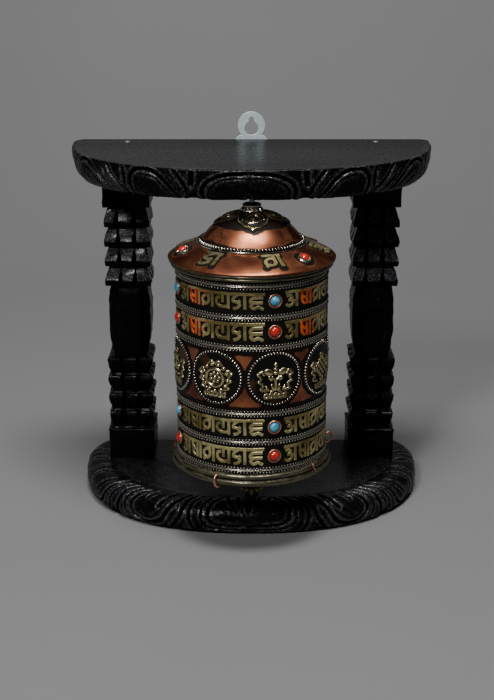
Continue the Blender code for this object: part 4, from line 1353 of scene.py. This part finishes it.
def fish_emblem(height, x, z):
    for side in (-1, 1):
        height = bossed(height, x, z, [
            (side * 4.6, 4.8, 3.1, 2.1, side * 28), (side * 3.4, 0.9, 2.2, 1.2, side * 62),
            (side * 2.0, -5.6, 2.9, 0.7, side * 78), (side * 5.4, -6.0, 2.2, 0.7, side * 60),
        ], 2.2)
    height = bossed(height, x, z, [(0, 9.6, 1.0, 1.5, 0), (0, 6.9, 1.3, 1.1, 0), (0, 4.2, 1.5, 1.2, 0)], 2.2)
    height = corded(height, x, z, [[(-2.4, 1.6), (0, -0.4), (2.4, 1.6)], [(0, -0.4), (0, -6.6)],
                                   [(-3, -8.2), (0, -6.8), (3, -8.2)]], 1.3, 1.7)
    return height


def knot_emblem(height, x, z):
    for shift in (-3.9, -1.3, 1.3, 3.9):
        line = [(shift - 4.6, shift + 4.6), (shift, shift), (shift + 4.6, shift - 4.6)]
        height = corded(height, x, z, [[(a * 0.86, b * 0.86 + 0.6) for a, b in line]], 1.25, 1.9)
        height = corded(height, x, z, [[(-a * 0.86, b * 0.86 + 0.6) for a, b in line]], 1.25, 1.7)
    loops = [(0, 8.4), (0, -7.2), (7.4, 0.6), (-7.4, 0.6)]
    return corded(height, x, z, [around_points(1.4, 8, 0, a, b) + around_points(1.4, 8, 0, a, b)[:2]
                                 for a, b in loops], 1.1, 1.8)


def parasol_emblem(height, x, z):
    height = bossed(height, x, z, [(0, 3.6, 6.6, 4.6, 0)], 2.4) * np.where(z < 2.6, (z < -90), 1)
    height = bossed(height, x, z, [(i * 2.1, 1.6, 0.9, 1.5, 0) for i in range(-3, 4)], 1.8)
    height = bossed(height, x, z, [(0, 9.6, 1.1, 1.7, 0)], 2.2)
    return corded(height, x, z, [[(0, 1), (0, -8)], [(-3.6, -1), (-2.6, -4), (-4.2, -7)],
                                 [(3.6, -1), (2.6, -4), (4.2, -7)]], 1.4, 1.8)


def shell_emblem(height, x, z):
    spiral = [(r * math.cos(t), 2.6 + r * math.sin(t)) for r, t in
              ((0.5 + 0.30 * i, 0.55 * i) for i in range(17))]
    height = bossed(height, x, z, [(1.2, -2.4, 4.6, 2.6, 68)], 1.9)
    height = corded(height, x, z, [spiral], 1.5, 2.2)
    return bossed(height, x, z, [(0, 9.8, 1.0, 1.4, 0), (2.4, -7.4, 1.2, 1.0, 0)], 1.9)


def lotus_emblem(height, x, z):
    for slope, long in ((0, 5.4), (32, 5.2), (-32, 5.2), (62, 4.8), (-62, 4.8)):
        turn = math.radians(90 - slope)
        height = bossed(height, x, z, [(long * math.cos(turn), -1.6 + long * math.sin(turn), long, 1.75, 90 - slope)], 2.1)
    height = corded(height, x, z, [[(0, -2), (-0.6, -5), (0, -8)]], 1.4, 1.7)
    return bossed(height, x, z, [(side * 3.6, -5.6, 2.4, 1.1, side * 25) for side in (-1, 1)], 1.6)


def banner_emblem(height, x, z):
    for level, half in ((6.4, 3.0), (3.2, 3.8), (0.0, 3.8), (-3.2, 3.4), (-6.2, 2.8)):
        height = corded(height, x, z, [[(-half, level), (0, level - 0.5), (half, level)]], 2.4, 2.1)
    height = bossed(height, x, z, [(0, 9.8, 1.2, 1.7, 0)], 2.2)
    return corded(height, x, z, [[(-5.4, 7), (-6.4, 2), (-5.2, -3)], [(5.4, 7), (6.4, 2), (5.2, -3)]], 1.1, 1.5)


def vase_emblem(height, x, z):
    height = bossed(height, x, z, [(0, -0.8, 4.6, 4.2, 0), (0, 6.0, 3.4, 1.1, 0), (0, 9.4, 1.5, 1.9, 0)], 2.3)
    height = corded(height, x, z, [[(-1.2, 5), (-1.4, 3)], [(1.2, 5), (1.4, 3)], [(-2.6, -6.6), (2.6, -6.6)]], 1.5, 1.9)
    return corded(height, x, z, [[(-4.2, -0.6), (0, -1.8), (4.2, -0.6)]], 0.9, 2.7)


def rope_ring(name, radius, thick, tall, coils, slant):
    """A twisted wire round the spindle: slanted coils on a core painted black, for the shade between the coils."""
    rope = beaded_wire("coils", radius, 0, (thick, 1.3, tall), coils, slant, 2)
    deep = np.hypot(np.hypot(*corners(rope)[:, :2].T) - radius, corners(rope)[:, 2])
    # Painted shade: the coils darken towards the core.
    note(rope, "sunk", np.clip((0.38 * thick - deep) / 0.5, 0, 1))
    core = turned("core", bow(radius, 0, thick * 0.3, 0, 315, 7), 96)
    # Painted shade: the core is black, for the gaps between the coils.
    note(core, "sunk", np.full(len(core.data.vertices), 1.0))
    return join([rope, core], name)


plaque_brass = Finish("plaque_brass", metallic=0.9, roughness=0.3)
place = plaque_brass.place
high = place.noted("proud")
grime = place.speckle(500.0, 3.0, 0.6)
mask = (high * 1.25 - 0.12 + (grime - 0.5) * 0.3).between(0.32, 0.80)
gold = (high * 1.5 - 0.7 + place.speckle(90.0, 3.0) * 0.4).clipped().tint((0.12, 0.10, 0.042), (0.70, 0.60, 0.32))
dull = place.speckle(36.0, 4.0, 0.6, 0.8).between(0.52, 0.68) * 0.45
ground = dull.tint((0.005, 0.0045, 0.004), (0.13, 0.06, 0.018))
plaque_brass.shader.inputs["Specular IOR Level"].default_value = 0.12
plaque_brass.feed(Base_Color=mask.tint(ground, gold))
plaque_brass.feed(Metallic=(dull * 0.8 + mask).clipped())
plaque_brass.feed(Roughness=(0.38 - mask * 0.22 + grime * 0.08).clipped())
plaque_brass.raised(grime, 0.06, 0.5)

EMBLEMS = [
    wheel_emblem, fish_emblem, knot_emblem, parasol_emblem, shell_emblem, lotus_emblem, banner_emblem, vase_emblem,
]
for number, emblem in enumerate(EMBLEMS, 1):
    leave_all()
    bpy.ops.mesh.primitive_grid_add(x_subdivisions=124, y_subdivisions=124, size=38.4 * MM)
    plaque = added(f"plaque_{number}")
    flat = corners(plaque)
    x, z = flat[:, 0], flat[:, 1]
    u, v = x / 1.13, z / 1.13
    height = emblem(lotus_seat(np.zeros(len(x)), u, v), u, v)
    edge = np.hypot(x, z)
    rise = np.clip(height / 2.0, 0, 1)
    height = height * 0.85 + 0.25 * np.clip((edge - 16.5) / 2, 0, 1)
    note(plaque, "proud", rise)
    move_corners(plaque, np.column_stack([x, -0.55 - height, z]))
    bpy.ops.object.mode_set(mode="EDIT")
    pick(plaque, np.flatnonzero(edge > 19.1))
    bpy.ops.mesh.delete(type="VERT")
    bpy.ops.object.mode_set(mode="OBJECT")
    plaque.modifiers.new("cast", "SOLIDIFY").thickness = 0.5 * MM
    plaque.modifiers["cast"].offset = 1.0
    apply_all(plaque)
    plaque_brass.on(plaque)
    angle = math.radians(MEDALLION_TURN + MEDALLION_STEP * (number - 1))
    round_drum(plaque, angle, MEDALLION_MIDDLE, 56.4)
    smooth(plaque, 60)
    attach(plaque, "wheel")
    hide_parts(f"medallion_{number}")
    rope = rope_ring(f"plaque_rope_{number}", 19.4, 2.2, 2.3, 54, 0.5)
    moved(rope, (0, -0.9, 0), (math.radians(90), 0, 0))
    round_drum(rope, angle, MEDALLION_MIDDLE, 56.4)
    smooth(rope, 60)
    white_metal.on(rope)
    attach(rope, "wheel")


# Bottom rim and wire ties
# Two fat rolls of sheet brass hold the floor in. Five bits of copper wire are hooked round them
# and through the wall, so that the drum can be opened for the prayer roll.

roll_brass = tarnished_brass("roll_brass", (0.10, 0.088, 0.055), (0.25, 0.225, 0.15), (2.4, 2.4, 5.0), 0.7)
rim = turned("rolled_rim", [(55.6, 64.6), (57.0, 64.7)] + bow(57.6, 62.3, 2.35, 78, -52, 8) + bow(
    59.2, 58.3, 2.45, 62, -100, 10) + [(55.0, 55.4), (53.3, 55.5), (53.3, 56.4), (55.6, 56.4)], 192)
places = corners(rim)
turn = np.arctan2(places[:, 1], places[:, 0])
dents = np.array([noise.noise(Vector((math.cos(a) * 5, math.sin(a) * 5, z * 0.5))) for a, z in zip(turn, places[:, 2])])
outer = np.hypot(places[:, 0], places[:, 1]) > 57
places[:, :2] *= (1 + np.where(outer, dents * 0.005, 0))[:, None]
move_corners(rim, places)
# Painted shade: the crease between the two rolls and the top of the rim are marked sunk.
note(rim, "sunk", np.where((np.abs(places[:, 2] - 60.5) < 0.7) | (places[:, 2] > 64.2), 0.7, 0.0))
smooth(rim, 50)
roll_brass.on(rim)
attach(rim, "wheel")
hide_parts("bottom_rim")

tie_copper = tarnished_brass("tie_copper", (0.60, 0.24, 0.13), (0.88, 0.44, 0.27), dark=0.25)
TIES = {
    1: (-104.0, [(58.4, 64.2), (60.0, 64.2), (61.4, 62.6), (62.3, 60.0), (62.2, 57.2), (61.0, 55.0), (59.2, 54.4)]),
    2: (-25.0, [(59.4, 63.0), (61.2, 63.2), (63.0, 61.4), (63.6, 58.8), (63.2, 56.2), (61.4, 54.2), (58.8, 53.8)]),
    3: (50.0, [(58.6, 65.0), (60.0, 65.4), (60.9, 64.2), (60.7, 62.6), (61.6, 61.2), (62.2, 59.6)]),
    4: (106.0, [(58.6, 63.2), (58.8, 66.4), (60.6, 69.0), (63.6, 69.6), (65.8, 67.4), (65.4, 64.4), (63.4, 61.6),
                (61.6, 60.6)]),
    5: (-170.0, [(59.4, 64.0), (61.0, 64.0), (62.6, 62.4), (63.1, 60.0), (62.8, 57.2), (61.2, 54.8), (58.6, 54.0)]),
}
for number, (degrees, loop) in TIES.items():
    shape = bpy.data.curves.new(f"copper_tie_{number}", "CURVE")
    shape.dimensions = "3D"
    shape.bevel_depth = {2: 0.85, 3: 0.5, 1: 0.5}.get(number, 0.66) * MM
    shape.bevel_resolution = 2
    shape.use_fill_caps = True
    drawn = drawn_through(loop, 6)
    line = shape.splines.new("POLY")
    line.points.add(len(drawn) - 1)
    for i, (point, (r, z)) in enumerate(zip(line.points, drawn)):
        turn = math.radians(degrees) - 0.015 * math.sin(4.2 * i / len(drawn))
        point.co = (math.sin(turn) * r * MM, -math.cos(turn) * r * MM, z * MM, 1)
    made = bpy.data.objects.new(shape.name, shape)
    bpy.context.scene.collection.objects.link(made)
    take(made)
    bpy.ops.object.convert(target="MESH")
    tie = bpy.context.object
    # Ties 1 and 3 are painted darker all over through the sunk value.
    note(tie, "sunk", np.full(len(tie.data.vertices), 0.6 if number in (1, 3) else 0.0))
    smooth(tie, 60)
    tie_copper.on(tie)
    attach(tie, "wheel")
    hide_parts(f"wire_tie_{number}")


# Lid
# The lid is raised from copper: a low cone with a turned lip of brass under it, then a dome with
# a twisted wire at its foot. Six brass figures and three corals are set on the cone.

CONE = [(36.6, 228.3), (40.0, 227.0), (45.0, 225.25), (50.0, 223.4), (54.0, 221.75), (57.5, 220.1), (60.3, 218.5),
        (62.0, 217.3), (62.5, 216.6), (62.3, 216.0)]
cone_line = drawn_through(CONE, 3).tolist()
cone = turned("lid_cone", cone_line + [(61.6, 216.1), (57.0, 219.3), (50.0, 222.5), (40.0, 226.1), (36.6, 227.4)], 320)
CONE_FIGURES = [(-36.0, 4), (17.0, 2), (84.0, 0), (124.0, 5), (-154.0, 3), (-108.0, 1)]
CORALS = [-77.0, 46.0, 166.0]


def set_round(angles, radius):
    return [(math.sin(math.radians(a)) * radius, -math.cos(math.radians(a)) * radius) for a in angles]


CONE_SCALE, CONE_LEAN, CONE_OUT = 1.3, math.radians(21.5), 50.4
places = corners(cone)
soot = np.zeros(len(places))
turn = np.arctan2(places[:, 0], -places[:, 1])
# Sooty black halos round the figures and the corals.
for degrees, kind in CONE_FIGURES:
    x = (np.mod(turn - math.radians(degrees) + math.pi, math.tau) - math.pi) * CONE_OUT / CONE_SCALE + 6.0
    z = (CONE_OUT - np.hypot(places[:, 0], places[:, 1])) / math.cos(CONE_LEAN) / CONE_SCALE + 6.7
    for stroke in FIGURES[kind]:
        away, _ = near_line(drawn_through(stroke, 4), x, z, 6.0)
        soot = np.maximum(soot, np.clip(1 - (away - 1.1) / 2.0, 0, 1))
for x, y in set_round(CORALS, 52.0):
    soot = np.maximum(soot, np.clip(1.3 - (np.hypot(places[:, 0] - x, places[:, 1] - y) - 4.0) / 4.0, 0, 1))
radius = np.hypot(places[:, 0], places[:, 1])
# Painted shade on the cone's inner edge, next to the dome's foot and its wire.
soot = np.maximum(soot, 0.75 * np.clip(1 - (radius - 39.0) / 4.0, 0, 1))
note(cone, "soot", np.clip(soot * 0.95 + 0.1, 0, 1))
smooth(cone, 40)
copper.on(cone)
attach(cone, "wheel")
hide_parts("cap_cone")

lip_brass = tarnished_brass("lip_brass", (0.12, 0.105, 0.062), (0.26, 0.23, 0.15), (2.0, 2.0, 4.0), 0.8)
lip = turned("lid_lip", [(55.6, 215.4), (60.8, 215.5)] + bow(61.2, 214.9, 0.75, 80, -70, 5) + [(60.6, 213.6)] + bow(
    59.3, 212.2, 1.3, 50, -60, 6) + [(58.6, 210.8), (56.6, 210.4), (55.6, 210.3)], 192)
places = corners(lip)
# Painted shade: the crease in the lip and its underside are marked sunk.
note(lip, "sunk", np.where((np.abs(places[:, 2] - 213.5) < 0.35) | (places[:, 2] < 210.9), 0.8, 0.0))
smooth(lip, 45)
lip_brass.on(lip)
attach(lip, "wheel")
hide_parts("cap_lip")

DOME_FOOT, DOME_RISE = 229.3, 20.9
DOME_SPHERE = (37.5 ** 2 + DOME_RISE ** 2) / (2 * DOME_RISE)


def dome_top(radius):
    return DOME_FOOT + DOME_RISE - DOME_SPHERE + np.sqrt(np.maximum(DOME_SPHERE ** 2 - np.square(radius), 1.0))


dome_line = [(r, float(dome_top(r))) for r in (2.5, 6, 10, 14, 18, 21, 24, 26, 28, 30, 32, 34, 35.5, 36.8, 37.6)]
dome = turned("lid_dome", dome_line + [(r - 0.3, z - 0.6) for r, z in dome_line[::-1]], 160)
places = corners(dome)
turn = np.arctan2(places[:, 0], -places[:, 1])
radius = np.hypot(places[:, 0], places[:, 1])
from_petal = np.abs((turn - math.radians(3) + math.pi / 4) % (math.pi / 2) - math.pi / 4) / (math.pi / 4)
petal_edge = 13.5 + 15.0 * (1 - 0.38 * from_petal ** 0.8) * np.sqrt(1 - np.minimum(from_petal, 1) ** 2)
# Painted shadow: round the crown the dome is painted black, for the top board's shadow on its top.
soot = np.clip(1 - (radius - np.maximum(petal_edge, 25.0) - 0.8) / 2.6, 0, 1)
# Two soft darker bands at about 54 degrees either side of the front.
soot = np.maximum(soot, 0.42 * np.exp(-((np.abs(turn) - 0.95) / 0.36) ** 2))
# Painted shade at the dome's foot, where it meets the twisted wire.
soot = np.clip(soot + np.clip((radius - 36.2) / 1.2, 0, 1) * 0.8, 0, 1)
note(dome, "soot", np.clip(soot, 0, 1))
smooth(dome, 50)
copper.on(dome)
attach(dome, "wheel")
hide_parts("cap_dome")

foot_rope = rope_ring("dome_foot_rope", 38.6, 2.5, 2.9, 96, 0.5)
moved(foot_rope, (0, 0, 229.0))
foot_wire = turned("foot_wire", bow(40.6, 227.5, 0.55, 0, 300, 5), 160)
note(foot_wire, "sunk", np.zeros(len(foot_wire.data.vertices)))
foot_rope = join([foot_rope, foot_wire], "dome_foot_rope")
smooth(foot_rope, 60)
white_metal.on(foot_rope)
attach(foot_rope, "wheel")
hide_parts("dome_bead_ring")


def round_cone(piece, angle):
    """Bends a piece made in the XZ plane over the cone."""
    places = corners(piece)
    turn = angle + places[:, 0] / CONE_OUT
    reach = CONE_OUT - places[:, 2] * math.cos(CONE_LEAN) - places[:, 1] * math.sin(CONE_LEAN)
    up = 223.15 + places[:, 2] * math.sin(CONE_LEAN) - places[:, 1] * math.cos(CONE_LEAN)
    move_corners(piece, np.column_stack([np.sin(turn) * reach, -np.cos(turn) * reach, up]))
    return piece


for number, (degrees, kind) in enumerate(CONE_FIGURES, 1):
    figure = relief_strokes(f"cone_figure_{number}", FIGURES[kind], 2.1, 1.1)
    places = corners(figure)
    places[:, 0] = (places[:, 0] - 6.0) * CONE_SCALE
    places[:, 2] = (places[:, 2] - 6.7) * CONE_SCALE
    move_corners(figure, places)
    note(figure, "enamel", np.zeros(len(places)))
    # Painted shade down the figures' sides; their faces are darkened a little, the figure at -36 degrees nearly to
    # black.
    note(figure, "sunk", np.where(places[:, 1] > -0.95, 0.8, 0.85 if kind == 4 else 0.15))
    round_cone(figure, math.radians(degrees))
    smooth(figure, 38)
    band_brass.on(figure)
    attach(figure, "wheel")

for number, degrees in enumerate(CORALS, 1):
    angle = math.radians(degrees)
    lean = math.radians(22)
    outward = Vector((math.sin(angle) * math.sin(lean), -math.cos(angle) * math.sin(lean), math.cos(lean)))
    tilt = outward.to_track_quat("Z", "Y").to_euler()
    seat = (math.sin(angle) * 52.0, -math.cos(angle) * 52.0, 222.7)
    cup = turned(f"serrated_cup_{number}", [
        (5.0, 0.2), (5.1, -0.5), (3.2, -0.5), (3.2, 0.6), (3.9, 1.5), (4.4, 1.5), (4.5, 0.6),
    ], 72)
    places = corners(cup)
    turn = np.arctan2(places[:, 1], places[:, 0])
    notch = (np.cos(turn * 18) > 0) & (places[:, 2] > 0.5)
    places[notch, :2] *= 0.9
    places[notch, 2] += 0.35
    move_corners(cup, places)
    # Painted shade: the cup's foot, where it sits on the cone, is marked sunk.
    note(cup, "sunk", np.where(places[:, 2] < 0.1, 0.5, 0.0))
    smooth(cup, 30)
    moved(cup, seat, tilt)
    white_metal.on(cup)
    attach(cup, "wheel")
    stone = cabochon(f"lid_coral_{number}", 7.6, 2.9)
    moved(stone, Vector(seat) + outward * 0.6, tilt)
    coral.on(stone)
    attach(stone, "wheel")
    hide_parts(f"cap_stone_{number}")


# Crown and collars
# A rosette of four brass petals is pressed over the top of the dome. Above it, a serrated cup
# and a collar of white metal are fixed on the spindle.

leave_all()
bpy.ops.mesh.primitive_grid_add(x_subdivisions=288, y_subdivisions=36, size=2 * MM)
crown = added("petal_crown")
flat = corners(crown)
turn = (flat[:, 0] + 1) * math.pi
out = (flat[:, 1] + 1) / 2
from_petal = (turn - math.radians(3) + math.pi / 4) % (math.pi / 2) - math.pi / 4
share = np.minimum(np.abs(from_petal) / (math.pi / 4), 1)
edge = 13.5 + 15.0 * (1 - 0.38 * share ** 0.8) * np.sqrt(1 - share ** 2) + 0.35 * np.cos(turn * 26)
radius = 7.4 + (edge - 7.4) * out
sideways, forward = radius * np.sin(from_petal), radius * np.cos(from_petal)
height = 0.5 + (0.5 + 0.9 * np.exp(-(sideways / 6.0) ** 2)) * np.exp(-((edge - radius - 1.5) / 1.15) ** 2)
eye = [(x, y * 0.82 + 17.0) for x, y in around_points(5.6, 14)]
height = corded(height, sideways, forward, [eye + eye[:2], [(0, 9.5), (0.4, 13.0), (0, 20.0)]], 1.7, 1.6)
height = bossed(height, sideways, forward, [(0, 17.2, 1.7, 3.2, 0)], 1.9)
height = corded(height, sideways, forward, [
    [(2.6, 9.0), (5.6, 10.6), (7.8, 13.6), (7.6, 17.0)], [(-2.6, 9.0), (-5.6, 10.6), (-7.8, 13.6), (-7.6, 17.0)],
], 1.4, 1.3)
height = np.maximum(height, 0.5)
height[out > 0.995] = 0.1
note(crown, "proud", np.clip((height - 0.62) * 1.5, 0, 1))
base_height = dome_top(radius)
lean = np.arcsin(np.clip(radius / DOME_SPHERE, 0, 1))
reach = radius + np.sin(lean) * height
move_corners(crown, np.column_stack([
    np.sin(turn) * reach, -np.cos(turn) * reach, base_height + np.cos(lean) * height,
]))
bpy.ops.object.mode_set(mode="EDIT")
bpy.ops.mesh.select_all(action="SELECT")
bpy.ops.mesh.remove_doubles(threshold=0.01 * MM)
bpy.ops.mesh.normals_make_consistent(inside=False)
bpy.ops.object.mode_set(mode="OBJECT")
crown.modifiers.new("sheet", "SOLIDIFY").thickness = 0.4 * MM
apply_all(crown)
smooth(crown, 50)
plaque_brass.on(crown)
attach(crown, "wheel")
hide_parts("crown_rosette")

serrated = turned("serrated_foot", [
    (6.6, 253.0), (7.6, 252.6), (8.6, 251.4), (8.9, 250.8), (2.3, 250.8), (2.3, 252.8),
], 96)
places = corners(serrated)
turn = np.arctan2(places[:, 1], places[:, 0])
notch = (np.cos(turn * 16) > 0) & (np.hypot(places[:, 0], places[:, 1]) > 7)
places[notch, :2] *= 0.9
move_corners(serrated, places)
# Painted shade: the notches are marked sunk.
note(serrated, "sunk", np.where(notch, 0.4, 0.0))
smooth(serrated, 30)
white_metal.on(serrated)
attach(serrated, "wheel")
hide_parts("collar_bezel")
collar = turned("spindle_collar", [(2.3, 254.6), (4.6, 254.7)] + bow(6.0, 254.7, 1.0, 130, -20, 6) + [
    (6.9, 253.4), (6.4, 252.9), (2.3, 252.9)], 64)
note(collar, "sunk", np.zeros(len(collar.data.vertices)))
smooth(collar, 45)
white_metal.on(collar)
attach(collar, "wheel")
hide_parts("top_collar")


# Camera, floor and lights
# A long lens looks down on the wheel from a little above it, on a plain sweep of grey paper
# that curves up behind.

leave_all()
bpy.ops.mesh.primitive_plane_add(size=1)
sweep = added("paper_sweep")
bpy.ops.object.mode_set(mode="EDIT")
bpy.ops.mesh.select_mode(type="VERT")
bpy.ops.mesh.select_all(action="SELECT")
bpy.ops.mesh.merge(type="CENTER")
bpy.ops.transform.translate(value=(-3, -2.2, 0))
line = [(-2.2, 0), (0.7, 0)] + [
    (0.7 + 0.9 * math.sin(turn), 0.9 - 0.9 * math.cos(turn)) for turn in np.linspace(0.06, math.pi / 2, 24)
] + [(1.6, 4.5)]
for (y, z), (next_y, next_z) in zip(line, line[1:]):
    bpy.ops.mesh.extrude_vertices_move(TRANSFORM_OT_translate={"value": (0, next_y - y, next_z - z)})
bpy.ops.mesh.select_all(action="SELECT")
bpy.ops.mesh.extrude_region_move(TRANSFORM_OT_translate={"value": (6, 0, 0)})
bpy.ops.object.mode_set(mode="OBJECT")
smooth(sweep, 60)
paper = Finish("studio_paper", roughness=0.9)
tone = paper.place.speckle(3.0, 2.0)
paper.feed(Base_Color=tone.tint((0.152, 0.152, 0.156), (0.166, 0.166, 0.171)))
paper.on(sweep)

lens = bpy.data.cameras.new("lens")
lens.sensor_fit = "VERTICAL"
lens.sensor_height = 36
lens.lens = 70.71
camera = bpy.data.objects.new("camera", lens)
camera.location = (-0.0036, -0.994, 0.457)
camera.rotation_euler = (math.radians(90 - 17.55), 0, 0)
bpy.context.scene.collection.objects.link(camera)
bpy.context.scene.camera = camera


def soft_light(name, place, towards, size, power, colour=(1, 1, 1)):
    lamp = bpy.data.lights.new(name, "AREA")
    lamp.shape = "RECTANGLE"
    lamp.size, lamp.size_y = size
    lamp.energy = power
    lamp.color = colour
    light = bpy.data.objects.new(name, lamp)
    light.location = place
    light.rotation_euler = (Vector(towards) - Vector(place)).to_track_quat("-Z", "Y").to_euler()
    bpy.context.scene.collection.objects.link(light)


soft_light("overhead_softbox", (0.05, -0.32, 1.45), (0, 0.05, 0.1), (0.5, 0.35), 22)
soft_light("front_softbox", (-0.5, -1.15, 1.15), (0, 0, 0.15), (0.28, 0.28), 17)
soft_light("background_softbox", (0, 0.9, 1.5), (0, 1.6, 0.9), (1.6, 0.4), 15)
world = bpy.data.worlds.new("studio")
bpy.context.scene.world = world
world.use_nodes = True
world.node_tree.nodes["Background"].inputs["Color"].default_value = (0.6, 0.6, 0.62, 1)
world.node_tree.nodes["Background"].inputs["Strength"].default_value = 0.035
